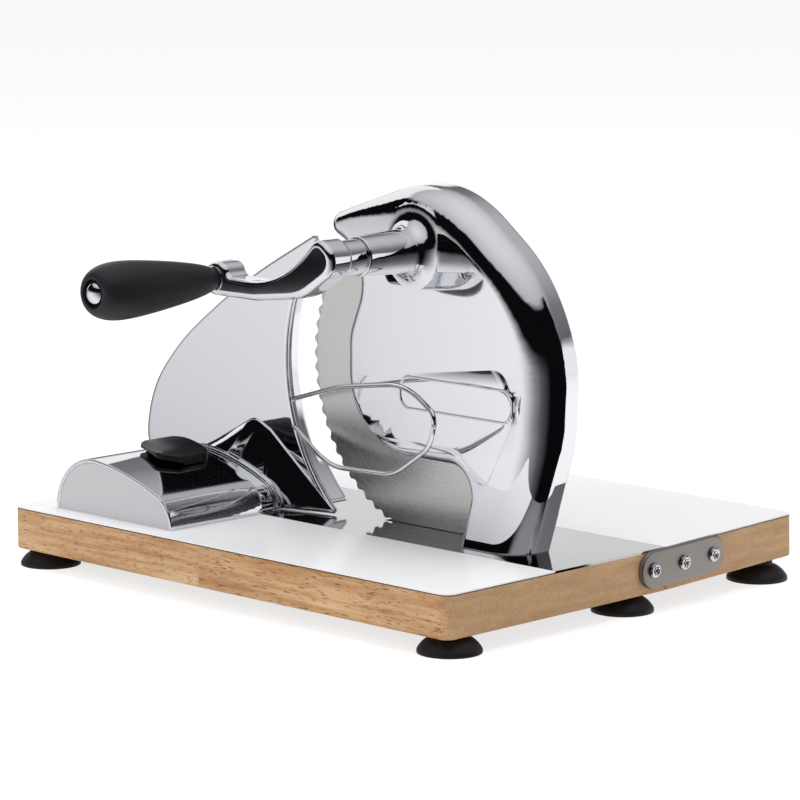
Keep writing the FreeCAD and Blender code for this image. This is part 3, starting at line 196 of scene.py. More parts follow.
def end_grain(tree, turned):
    """Colour of the sawn ends, a fine speckle over soft bands, and where it takes over."""
    # Cut pores are about 0.2 mm wide; these are drawn wider, so that they show.
    specks = add_node(tree, "ShaderNodeTexNoise", {"Scale": 1 / (0.55 * MM), "Detail": 3.0},
                      {"Vector": turned})
    leaning = add_node(tree, "ShaderNodeMapping",
                       {"Rotation": (0.35, 0, 0), "Scale": per_mm(30, 24, 4)}, {"Vector": turned})
    bands = add_node(tree, "ShaderNodeTexNoise", {"Scale": 1.0, "Detail": 2.0},
                     {"Vector": leaning.outputs["Vector"]})
    ground = add_node(tree, "ShaderNodeValToRGB", links={"Fac": bands.outputs["Fac"]},
                      stops=[(0.3, linear("#BE9A73")), (0.7, linear("#CDAA83"))])
    speckle = add_node(tree, "ShaderNodeValToRGB", links={"Fac": specks.outputs["Fac"]},
                       stops=[(0.36, linear("#DCC3A6")), (0.52, linear(WHITE))])
    sawn = add_node(tree, "ShaderNodeMix",
                    {"data_type": "RGBA", "blend_type": "MULTIPLY", 0: 0.85},
                    {6: ground.outputs["Color"], 7: speckle.outputs["Color"]})
    facing = add_node(tree, "ShaderNodeTexCoord")
    split = add_node(tree, "ShaderNodeSeparateXYZ", links={"Vector": facing.outputs["Normal"]})
    side = add_node(tree, "ShaderNodeMath", {"operation": "ABSOLUTE"}, {0: split.outputs["X"]})
    share = add_node(tree, "ShaderNodeMapRange", {"From Min": 0.35, "From Max": 0.85},
                     {"Value": side.outputs[0]})
    return sawn.outputs[2], share.outputs[0]


def oiled_hardwood(finish, name, tilt=0.0):
    """Rubberwood staves, oiled: a matt tan timber with short dark pores along its grain."""
    material, tree, shader = new_material(name, linear("#D2AE84"), {
        "Roughness": 0.5, "IOR": 1.5, "Specular IOR Level": 0.3})
    turned = placed(tree, turn=(-tilt, 0, 0))
    split = add_node(tree, "ShaderNodeSeparateXYZ", links={"Vector": turned})
    row = add_node(tree, "ShaderNodeMath",
                   {"operation": "MULTIPLY_ADD", 1: 1 / STAVE_WIDTH, 2: ROW_START},
                   {0: split.outputs["Y"]})
    row_number = add_node(tree, "ShaderNodeMath", {"operation": "FLOOR"}, {0: row.outputs[0]})
    stagger = add_node(tree, "ShaderNodeMath", {"operation": "MULTIPLY", 1: ROW_SHIFT},
                       {0: row_number.outputs[0]})
    along = add_node(tree, "ShaderNodeMath", {"operation": "MULTIPLY_ADD", 1: 1 / STAVE_LENGTH},
                     {0: split.outputs["X"], 2: stagger.outputs[0]})
    stave_number = add_node(tree, "ShaderNodeMath", {"operation": "FLOOR"}, {0: along.outputs[0]})
    stave = add_node(tree, "ShaderNodeCombineXYZ",
                     links={"X": row_number.outputs[0], "Y": stave_number.outputs[0]})
    tone = add_node(tree, "ShaderNodeTexWhiteNoise", {"noise_dimensions": "3D"},
                    {"Vector": stave.outputs["Vector"]})
    shuffle = add_node(tree, "ShaderNodeVectorMath", {"operation": "SCALE", "Scale": 0.7},
                       {"Vector": tone.outputs["Color"]})
    grain_space = add_node(tree, "ShaderNodeVectorMath", {"operation": "ADD"},
                           {0: turned, 1: shuffle.outputs["Vector"]})

    def grain(length, width, detail):
        """Noise stretched along the stave, with features of a length and a width in mm."""
        stretched = add_node(tree, "ShaderNodeMapping", {"Scale": per_mm(length, width, width)},
                             {"Vector": grain_space.outputs["Vector"]})
        noise = add_node(tree, "ShaderNodeTexNoise",
                         {"Scale": 1.0, "Detail": detail, "Roughness": 0.55},
                         {"Vector": stretched.outputs["Vector"]})
        return noise.outputs["Fac"]

    cloud = grain(60, 16, detail=3)
    bands = grain(45, 2.6, detail=4)
    # Real pores are about 0.2 mm wide; these are drawn wider, so that they show.
    pores = grain(5, 0.6, detail=2)
    wood = add_node(tree, "ShaderNodeValToRGB", links={"Fac": cloud}, stops=[
        (0.3, finish.wood_deep), (0.52, finish.wood_middle), (0.72, finish.wood_light)])
    colour = wood.outputs["Color"]
    # Streaks along the grain, the pores, and a tone of its own for each stave.
    for share, pattern, start, dark, end in (
            (0.8, bands, 0.35, "#DDC3A4", 0.62), (0.8, pores, 0.33, "#94693E", 0.42),
            (0.9, tone.outputs["Value"], 0.0, "#F4EBE2", 1.0)):
        layer = add_node(tree, "ShaderNodeValToRGB", links={"Fac": pattern},
                         stops=[(start, linear(dark)), (end, linear(WHITE))])
        mixed = add_node(tree, "ShaderNodeMix",
                         {"data_type": "RGBA", "blend_type": "MULTIPLY", 0: share},
                         {6: colour, 7: layer.outputs["Color"]})
        colour = mixed.outputs[2]
    sawn, at_end = end_grain(tree, turned)
    whole = add_node(tree, "ShaderNodeMix", {"data_type": "RGBA"}, {0: at_end, 6: colour, 7: sawn})
    tree.links.new(whole.outputs[2], shader.inputs["Base Color"])
    raise_surface(tree, shader, pores, 0.35, 0.08 * MM)
    return material


def white_laminate(finish, name, tilt=0.0, origin=BOARD_TOP):
    """Melamine pressed on glossy plates: clean white, with the dark glue line under its edge."""
    material, tree, shader = new_material(name, finish.laminate, {
        "Roughness": 0.12, "IOR": 1.5, "Specular IOR Level": 0.02})
    turned = placed(tree, turn=(-tilt, 0, 0))
    height = add_node(tree, "ShaderNodeSeparateXYZ", links={"Vector": turned})
    line = add_node(tree, "ShaderNodeMath", {"operation": "GREATER_THAN", 1: origin - GLUE_LINE},
                    {0: height.outputs["Z"]})
    colour = add_node(tree, "ShaderNodeValToRGB", links={"Fac": line.outputs[0]},
                      stops=[(0.4, linear("#4A4038")), (0.6, finish.laminate)])
    tree.links.new(colour.outputs["Color"], shader.inputs["Base Color"])
    # A sheet is never quite flat: faint waves, about 71 mm apart.
    waves = add_node(tree, "ShaderNodeTexNoise", {"Scale": 1 / (71.43 * MM), "Detail": 2.0},
                     {"Vector": placed(tree)})
    raise_surface(tree, shader, waves.outputs["Fac"], 0.05, 0.4 * MM)
    return material


def crown(tree, centre, radius):
    """The slight dome of a face about a centre, as a height in metres."""
    offset = from_axis(tree, placed(tree, shift=(-centre[0], 0, -centre[1])))
    square = add_node(tree, "ShaderNodeVectorMath", {"operation": "DOT_PRODUCT"},
                      {0: offset, 1: offset})
    return add_node(tree, "ShaderNodeMath", {"operation": "MULTIPLY", 1: -0.5 / radius},
                    {0: square.outputs["Value"]}).outputs[0]


def rolled(tree, centre, radius, front, bend):
    """The round bend between a flat front and an edge that turns back on an arc, as a height."""
    offset = placed(tree, shift=(-centre[0], 0, -centre[1]))
    away = add_node(tree, "ShaderNodeVectorMath", {"operation": "LENGTH"},
                    {0: from_axis(tree, offset)})
    split = add_node(tree, "ShaderNodeSeparateXYZ", links={"Vector": offset})
    shares = []
    for distance, start in ((away.outputs["Value"], radius), (split.outputs["Y"], front)):
        span = {"From Min": start, "From Max": start + bend, "To Min": 1.0, "To Max": 0.0}
        share = add_node(tree, "ShaderNodeMapRange", span, {"Value": distance})
        square = add_node(tree, "ShaderNodeMath", {"operation": "POWER", 1: 2.0},
                          {0: share.outputs["Result"]})
        shares.append(square.outputs[0])
    both = add_node(tree, "ShaderNodeMath", {"operation": "MULTIPLY"},
                    {0: shares[0], 1: shares[1]})
    return add_node(tree, "ShaderNodeMath", {"operation": "MULTIPLY", 1: -0.5 * bend},
                    {0: both.outputs[0]}).outputs[0]


def chrome_plate(name, colour, roughness=0.035, waviness=0.06, shape=None, rim=0.0):
    """Bright chrome over a polished zinc casting: a mirror with the faint swell of hand buffing.

    'shape' is a function that gives the surface's own form as a height, and its sizes.
    'rim' is how far the buffing has rounded every edge, which outlines the piece.
    """
    material, tree, shader = new_material(name, colour, {"Metallic": 1.0, "Roughness": roughness})
    swell = add_node(tree, "ShaderNodeTexNoise", {"Scale": 1 / (22 * MM), "Detail": 1.0},
                     {"Vector": placed(tree)})
    haze = add_node(tree, "ShaderNodeTexNoise", {"Scale": 1 / (9 * MM), "Detail": 3.0},
                    {"Vector": placed(tree)})
    vary_roughness(tree, shader, haze.outputs["Fac"], roughness * 0.7, roughness * 1.6)
    last = raise_surface(tree, shader, swell.outputs["Fac"], waviness, 0.3 * MM)
    if shape:
        form, *sizes = shape
        face = add_node(tree, "ShaderNodeBump", {"Distance": 1.0}, {"Height": form(tree, *sizes)})
        tree.links.new(face.outputs["Normal"], last.inputs["Normal"])
        last = face
    if rim:
        buffed = add_node(tree, "ShaderNodeBevel", {"samples": 8, "Radius": rim})
        tree.links.new(buffed.outputs["Normal"], last.inputs["Normal"])
    return material


def turned_steel(name, centre, colour, roughness=0.26, pitch=0.35):
    """Stainless steel ground on a wheel: satin, with fine arcs round the centre of the disc.

    The arcs of a real blade are finer than 'pitch', in millimetres, at which they just show.
    """
    material, tree, shader = new_material(name, colour, {"Metallic": 1.0, "Roughness": roughness})
    offset = placed(tree, shift=tuple(-value for value in centre))
    radius = add_node(tree, "ShaderNodeVectorMath", {"operation": "LENGTH"},
                      {0: from_axis(tree, offset)})
    split = add_node(tree, "ShaderNodeSeparateXYZ", links={"Vector": offset})
    angle = add_node(tree, "ShaderNodeMath", {"operation": "ARCTAN2"},
                     {0: split.outputs["Z"], 1: split.outputs["X"]})
    rings = add_node(tree, "ShaderNodeCombineXYZ",
                     links={"X": radius.outputs["Value"], "Y": angle.outputs[0]})
    # 1.6 arcs to the radian: each runs through about 36 degrees.
    fine = add_node(tree, "ShaderNodeMapping", {"Scale": (1 / (pitch * MM), 1.6, 1.0)},
                    {"Vector": rings.outputs["Vector"]})
    marks = add_node(tree, "ShaderNodeTexNoise", {"Scale": 1.0, "Detail": 3.0},
                     {"Vector": fine.outputs["Vector"]})
    tone = add_node(tree, "ShaderNodeValToRGB", links={"Fac": marks.outputs["Fac"]},
                    stops=[(0.3, linear("#CAC7C6")), (0.7, colour)])
    tree.links.new(tone.outputs["Color"], shader.inputs["Base Color"])
    vary_roughness(tree, shader, marks.outputs["Fac"], roughness * 0.85, roughness * 1.2)
    raise_surface(tree, shader, marks.outputs["Fac"], 0.02, 0.05 * MM)
    return material


def grained_metal(name, colour, roughness, grit, relief=0.1):
    """Plain metal with the fine grit of its finish, such as blasted steel or a raw casting.

    Real grit is finer than 'grit', in millimetres, at which it just shows.
    """
    material, tree, shader = new_material(name, colour, {"Metallic": 1.0, "Roughness": roughness})
    grains = add_node(tree, "ShaderNodeTexNoise", {"Scale": 1 / (grit * MM), "Detail": 2.0},
                      {"Vector": placed(tree)})
    vary_roughness(tree, shader, grains.outputs["Fac"], roughness * 0.8, roughness * 1.25)
    raise_surface(tree, shader, grains.outputs["Fac"], relief, 0.1 * MM)
    return material


def moulded_plastic(name, colour, roughness, grain, relief):
    """Moulded plastic or rubber with the fine skin of its mould.

    The grain of a real mould is finer than 'grain', in millimetres, at which it just shows.
    """
    material, tree, shader = new_material(name, colour, {
        "Roughness": roughness, "IOR": 1.5, "Specular IOR Level": 0.32})
    skin = add_node(tree, "ShaderNodeTexNoise", {"Scale": 1 / (grain * MM), "Detail": 3.0},
                    {"Vector": placed(tree)})
    vary_roughness(tree, shader, skin.outputs["Fac"], roughness * 0.85, roughness * 1.15)
    raise_surface(tree, shader, skin.outputs["Fac"], relief, 0.08 * MM)
    return material


# ---------------------------------------------------------------- modelling helpers


def only(piece):
    """Select one object and make it active."""
    for other in bpy.context.view_layer.objects:
        other.select_set(False)
    piece.select_set(True)
    bpy.context.view_layer.objects.active = piece


def paint(piece, material):
    """Give a piece one material, in place of any it had."""
    piece.data.materials.clear()
    piece.data.materials.append(material)


def smooth_copy(node, material, angle=32, edge=0.0):
    """A welded, smooth-shaded copy that stands for a CAD node, its edges rounded by 'edge'."""
    source = CAD[node]
    piece = source.copy()
    piece.data = source.data.copy()
    piece.parent = None
    piece.name = node + "_finished"
    for key in [key for key in piece.keys() if key.startswith("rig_")]:
        del piece[key]
    bpy.context.scene.collection.objects.link(piece)
    only(piece)
    bpy.ops.object.mode_set(mode="EDIT")
    bpy.ops.mesh.select_all(action="SELECT")
    bpy.ops.mesh.remove_doubles(threshold=WELD)
    if edge:
        bpy.ops.mesh.dissolve_limited(angle_limit=JOIN_ANGLE)
    bpy.ops.object.mode_set(mode="OBJECT")
    if edge:
        rounding = piece.modifiers.new("Rounded_edges", "BEVEL")
        rounding.width = edge
        rounding.segments = EDGE_STEPS
        rounding.limit_method = "ANGLE"
        rounding.angle_limit = EDGE_ANGLE
        bpy.ops.object.modifier_apply(modifier=rounding.name)
    bpy.ops.object.shade_smooth_by_angle(angle=math.radians(angle))
    weights = piece.modifiers.new("Weighted", "WEIGHTED_NORMAL")
    weights.keep_sharp = True
    bpy.ops.object.modifier_apply(modifier=weights.name)
    paint(piece, material)
    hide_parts(node)
    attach(piece, BODY_OF[node])
    return piece


def loose_parts(piece):
    """The corner points of each separate body in a mesh, in the order of its corners."""
    mesh = bmesh.new()
    mesh.from_mesh(piece.data)
    found = set()
    parts = []
    for start in mesh.verts:
        if start in found:
            continue
        found.add(start)
        front = [start]
        points = []
        while front:
            corner = front.pop()
            points.append(corner.co.copy())
            for edge in corner.link_edges:
                other = edge.other_vert(corner)
                if other not in found:
                    found.add(other)
                    front.append(other)
        parts.append(points)
    mesh.free()
    return parts


def head_centre(points, outward):
    """The middle of a screw's outer end."""
    low = Vector([min(point[axis] for point in points) for axis in range(3)])
    high = Vector([max(point[axis] for point in points) for axis in range(3)])
    centre = (low + high) / 2
    reach = max(point.dot(outward) for point in points)
    return centre + outward * (reach - centre.dot(outward))


def star_recess(piece, outward, radius, depth):
    """Sink a six-lobed recess into the head of every screw in a piece."""
    outward = Vector(outward)
    for points in loose_parts(piece):
        bpy.ops.mesh.primitive_cylinder_add(
            vertices=STAR_SIDES, radius=radius, depth=2 * depth,
            location=head_centre(points, outward),
            rotation=outward.to_track_quat("Z", "Y").to_euler())
        star = bpy.context.object
        for vertex in star.data.vertices:
            turn = math.atan2(vertex.co.y, vertex.co.x)
            vertex.co.xy *= STAR_MEAN + STAR_SWING * math.cos(STAR_LOBES * turn)
        recess = piece.modifiers.new("Recess", "BOOLEAN")
        recess.operation = "DIFFERENCE"
        recess.object = star
        only(piece)
        bpy.ops.object.modifier_apply(modifier=recess.name)
        bpy.data.objects.remove(star)


def settle(piece, name, material, body):
    """Name a new piece, bake its place into its mesh, paint it and mount it on a body."""
    piece.name = name
    only(piece)
    bpy.ops.object.transform_apply(location=True, rotation=True, scale=True)
    bpy.ops.object.shade_smooth_by_angle(angle=math.radians(40))
    paint(piece, material)
    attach(piece, body)


# ---------------------------------------------------------------- what a user may change


def tint(name, code, description):
    """A colour property with its default given as an sRGB hex code."""
    return FloatVectorProperty(name=name, description=description, default=linear(code), size=4,
                               min=0, max=1, subtype="COLOR")


class SlicerFinishes(bpy.types.PropertyGroup):
    """Colours of the woods, metals and plastics"""
    wood_light: tint("Wood, light", "#DFBE94", "Palest tone of the oiled hardwood")
    wood_middle: tint("Wood, middle", "#D3B087", "Middle tone of the oiled hardwood")
    wood_deep: tint("Wood, deep", "#C59E74", "Deepest tone of the oiled hardwood")
    laminate: tint("Laminate", "#F1F1F3", "White melamine on the two boards")
    chrome: tint("Chrome", "#E6E7EA", "Bright chrome of the castings and the wire")
    blade: tint("Blade", "#D6D3D2", "Ground stainless steel of the blade")
    splice: tint("Splice plates", "#98928E", "Blasted stainless steel of the two splice plates")
    rubber: tint("Rubber", "#1D1A1C", "Black rubber of the suction cups")
    grip: tint("Grip", "#1F2023", "Black soft-touch plastic of the grip")
    lever: tint("Lever", "#17171A", "Black plastic of the thumb lever")
    end_plate: tint("End plate", "#C6C4C7", "Pale grey plastic that closes the drum's end")


class SlicerTrim(bpy.types.PropertyGroup):
    """Sizes of the recesses, the scale, the bead and the rounded edges"""
    recess_depth: FloatProperty(
        name="Recess depth", description="Depth of the star recess in a screw head",
        default=0.8 * MM, min=0.2 * MM, max=3 * MM, unit="LENGTH")
    mark_step: FloatProperty(
        name="Scale step", description="Distance between two marks of the thickness scale",
        default=1 * MM, min=0.5 * MM, max=5 * MM, unit="LENGTH")
    marks: IntProperty(
        name="Scale marks", description="How many marks the thickness scale has",
        default=18, min=2, max=30)
    bead: FloatProperty(
        name="Plaque bead", description="Radius of the bead round the plaque",
        default=0.65 * MM, min=0.2 * MM, max=1 * MM, unit="LENGTH")
    edge: FloatProperty(
        name="Rounded edges", description="Width by which the edges of flat pieces are rounded",
        default=0.5 * MM, min=0.1 * MM, max=1 * MM, unit="LENGTH")
    plate_edge: FloatProperty(
        name="Stop plate edges", description="Width by which the stop plate's edges are rounded",
        default=0.85 * MM, min=0.1 * MM, max=0.9 * MM, unit="LENGTH")


class SlicerStudio(bpy.types.PropertyGroup):
    """Camera, lamps and floor"""
    camera_place: FloatVectorProperty(
        name="Camera place", description="Where the camera stands",
        default=(1.2800, -1.2811, 0.3893), size=3, subtype="XYZ", unit="LENGTH")
    azimuth: FloatProperty(
        name="Azimuth", description="The camera's turn about the upright axis",
        default=math.radians(44.31), subtype="ANGLE", unit="ROTATION")
    elevation: FloatProperty(
        name="Elevation", description="How far the camera looks down",
        default=math.radians(9.31), subtype="ANGLE", unit="ROTATION")
    focal_length: FloatProperty(
        name="Focal length", description="Focal length on a 36 mm wide sensor, in millimetres",
        default=164.0, min=20, max=400)
    overhead_power: FloatProperty(
        name="Overhead power", description="Power of the soft box above the slicer",
        default=34, min=0, max=200, unit="POWER")
    front_power: FloatProperty(
        name="Front power", description="Power of the soft box at the front left",
        default=10, min=0, max=200, unit="POWER")
    floor_glow: FloatProperty(
        name="Floor glow", description="How far the floor is lifted to white where it is seen",
        default=0.8, min=0, max=1)
    floor: tint("Floor", "#F7F7F7", "Pale floor under the slicer")
    flag: tint("Flag", "#0B0B0D", "Darkest part of the room that gives chrome its contrast")


# ---------------------------------------------------------------- pieces


class SlicerOperator:
    """What the slicer's operators share."""
    bl_options = {"REGISTER", "UNDO"}

    @property
    def finish(self):
        """The colours that a user may change."""
        return bpy.context.scene.slicer_finishes

    @property
    def trim(self):
        """The sizes that a user may change."""
        return bpy.context.scene.slicer_trim


class SLICER_OT_board(SlicerOperator, bpy.types.Operator):
    """Oil the two boards, face them and fit the steel strip and the splice plates"""
    bl_idname = "slicer.board"
    bl_label = "Board"

    def execute(self, context):
        finish = self.finish
        paint(CAD["front_board"], oiled_hardwood(finish, "Oiled_rubberwood_front"))
        paint(CAD["rear_board"], oiled_hardwood(finish, "Oiled_rubberwood_rear", REAR_TILT))
        paint(CAD["front_top_sheet"], white_laminate(finish, "Melamine_front"))
        level = JOINT.z * math.cos(REAR_TILT) - JOINT.y * math.sin(REAR_TILT)
        paint(CAD["rear_top_sheet"], white_laminate(finish, "Melamine_rear", REAR_TILT, level))
        # Stainless sheet polished to a mirror: clear reflections, a shade greyer than chrome.
        strip = chrome_plate("Mirror_polished_strip", linear("#B4B4B5"),
                             roughness=0.06, waviness=0.04)
        paint(CAD["steel_strip"], strip)
        # Stainless sheet blasted with beads: an even warm grey without a clear reflection.
        splice = grained_metal("Blasted_stainless", finish.splice, roughness=0.42, grit=0.5)
        for node in ("splice_plate_right", "splice_plate_left"):
            smooth_copy(node, splice, edge=self.trim.edge)
        return {"FINISHED"}


class SLICER_OT_castings(SlicerOperator, bpy.types.Operator):
    """Plate the castings and the wire with chrome, rim the plaque and mark the scale"""
    bl_idname = "slicer.castings"
    bl_label = "Chrome castings"

    def execute(self, context):
        chrome = self.finish.chrome
        casting = chrome_plate("Chrome_on_castings", chrome, rim=1.2 * MM)
        for node in ("crank_arm", "drum_cover", "slide_tube"):
            smooth_copy(node, casting)
        for node in ("ring_flange", "plate_bracket"):
            smooth_copy(node, casting, edge=self.trim.edge)
        turned_edge = (rolled, ARC_CENTRE, ARC_RADIUS, PLATE_FRONT, PLATE_BEND)
        bent = chrome_plate("Chrome_on_stop_plate", chrome, shape=turned_edge, rim=2.6 * MM)
        smooth_copy("stop_plate", bent, angle=60, edge=self.trim.plate_edge)
        crowned_face = (crown, FACE_CENTRE, FACE_RADIUS)
        domed = chrome_plate("Chrome_on_housing", chrome, shape=crowned_face, rim=1.0 * MM)
        smooth_copy("blade_housing", domed)
        self.plaque_bead(domed)
        self.scale_marks()
        # Chrome on drawn steel: as bright as on the castings, but without their swell.
        wire = chrome_plate("Chrome_on_steel", chrome, roughness=0.045, waviness=0.0)
        for node in ("wire_guard", "dome_nut", "grip_washer"):
            smooth_copy(node, wire, angle=40)
        # Moulded ABS: pale grey with a soft sheen.
        plate = moulded_plastic("Pale_grey_plastic", self.finish.end_plate,
                                roughness=0.35, grain=0.6, relief=0.05)
        smooth_copy("drum_end_plate", plate)
        return {"FINISHED"}

    def plaque_bead(self, material):
        """The thin raised bead round the bare plaque."""
        inset = self.trim.bead
        bpy.ops.mesh.primitive_plane_add(
            size=1, location=(PLAQUE_X, FRAME_Y + PLAQUE_Y, PLAQUE_Z),
            rotation=(math.radians(90), 0, 0))
        bead = bpy.context.object
        bead.scale = (PLAQUE_LENGTH - 2 * inset, PLAQUE_HEIGHT - 2 * inset, 1)
        bpy.ops.object.transform_apply(location=True, rotation=True, scale=True)
        bpy.ops.object.mode_set(mode="EDIT")
        bpy.ops.mesh.select_all(action="SELECT")
        bpy.ops.mesh.bevel(offset=PLAQUE_ROUND - inset, segments=CORNER_STEPS,
                           affect="VERTICES")
        bpy.ops.mesh.delete(type="ONLY_FACE")
        bpy.ops.object.mode_set(mode="OBJECT")
        bpy.ops.object.convert(target="CURVE")
        bead = bpy.context.object
        bead.data.bevel_depth = inset
        bead.data.bevel_resolution = BEAD_STEPS
        bpy.ops.object.convert(target="MESH")
        settle(bpy.context.object, "plaque_bead", material, "base")

    def scale_marks(self):
        """Fine lines across the slide tube, one for each millimetre of slice thickness."""
        trim = self.trim
        lean = math.asin((MARK_X - TUBE_CENTRE_X) / TUBE_RADIUS)
        height = TUBE_CENTRE_Z + TUBE_RADIUS * math.cos(lean)
        bpy.ops.mesh.primitive_cube_add(
            size=1, location=(MARK_X, FRAME_Y + MARK_START, height), rotation=(0, lean, 0),
            scale=MARK_SIZE)
        marks = bpy.context.object
        bpy.ops.object.transform_apply(location=True, rotation=True, scale=True)
        bpy.ops.object.mode_set(mode="EDIT")
        bpy.ops.mesh.select_all(action="SELECT")
        bpy.ops.mesh.bevel(offset=MARK_CHAMFER, segments=1)
        for _ in range(trim.marks - 1):
            bpy.ops.mesh.duplicate_move(
                TRANSFORM_OT_translate={"value": (0, trim.mark_step, 0)})
        bpy.ops.object.mode_set(mode="OBJECT")
        # Black paint wiped into the engraved lines: flat and dark on the bright tube.
        ink = moulded_plastic("Black_filled_engraving", linear("#17171A"),
                              roughness=0.6, grain=0.4, relief=0.05)
        settle(marks, "scale_marks", ink, "adjuster")


class SLICER_OT_blade(SlicerOperator, bpy.types.Operator):
    """Grind the blade and finish the gears and what they turn on"""
    bl_idname = "slicer.blade"
    bl_label = "Blade and gears"

    def execute(self, context):
        ground = turned_steel("Ground_stainless", BLADE_CENTRE, self.finish.blade)
        smooth_copy("blade", ground, angle=20)
        # Milled and drawn steel, unplated: mid grey with soft highlights.
        cut = grained_metal("Cut_steel", linear("#8F9093"), roughness=0.3, grit=0.8)
        for node in ("blade_gear", "crank_gear", "crank_shaft", "blade_axle", "axle_cap",
                     "grip_pin", "guide_rods", "lever_pin", "lever_spring"):
            smooth_copy(node, cut)
        smooth_copy("gear_cover", cut)
        # Sintered bronze: dull gold with a fine grit.
        bronze = grained_metal("Bearing_bronze", linear("#A88248"), roughness=0.35, grit=0.8)
        for node in ("crank_bush_front", "crank_bush_rear"):
            smooth_copy(node, bronze)
        # Zinc as it leaves the die: matt grey with a coarse skin.
        raw = grained_metal("Raw_zinc_casting", linear("#8E9093"), roughness=0.5, grit=1.2,
                            relief=0.25)
        for node in ("rod_support", "guide_carriage"):
            smooth_copy(node, raw)
        return {"FINISHED"}


class SLICER_OT_screws(SlicerOperator, bpy.types.Operator):
    """Fit the screws and sink the star recesses in their heads"""
    bl_idname = "slicer.screws"
    bl_label = "Screws"

    def execute(self, context):
        # Bright zinc plate: silvery and nearly as clear as chrome.
        zinc = grained_metal("Bright_zinc", linear("#CFD0D3"), roughness=0.16, grit=1.0,
                             relief=0.03)
        right, left, back, down, up = (1, 0, 0), (-1, 0, 0), (0, 1, 0), (0, 0, -1), (0, 0, 1)
        # Each group of screws, where its heads point and the recess's radius in millimetres.
        for node, outward, radius in (
                ("splice_screws_right", right, 2.3), ("splice_screws_left", left, 2.3),
                ("foot_screws", down, 2.2), ("housing_screws", down, 2.8),
                ("support_screws", down, 2.0), ("cover_screws", back, 1.6),
                ("blade_screws", back, 1.4), ("axle_screw", back, 1.9),
                ("plate_screws", back, 1.5), ("crank_grub_screw", up, 1.1)):
            piece = smooth_copy(node, zinc, angle=50)
            star_recess(piece, outward, radius * MM, self.trim.recess_depth)
            bpy.ops.object.shade_smooth_by_angle(angle=math.radians(50))
        return {"FINISHED"}


class SLICER_OT_plastics(SlicerOperator, bpy.types.Operator):
    """Mould the grip, the thumb lever and the suction cups"""
    bl_idname = "slicer.plastics"
    bl_label = "Grip, lever and feet"

    def execute(self, context):
        # Soft-touch lacquer on a moulded grip: nearly black, with one broad weak highlight.
        soft = moulded_plastic("Soft_touch_plastic", self.finish.grip,
                               roughness=0.42, grain=0.35, relief=0.12)
        smooth_copy("grip", soft)
        # Moulded nylon: black, with a tighter highlight on its edges.
        nylon = moulded_plastic("Black_nylon", self.finish.lever,
                                roughness=0.3, grain=0.6, relief=0.06)
        smooth_copy("lock_lever", nylon)
        # Moulded rubber: black and matt.
        rubber = moulded_plastic("Black_rubber", self.finish.rubber,
                                 roughness=0.5, grain=0.5, relief=0.1)
        for row in ("front", "middle", "rear"):
            for side in ("right", "left"):
                smooth_copy("foot_%s_%s" % (row, side), rubber)
        return {"FINISHED"}


# ---------------------------------------------------------------- studio


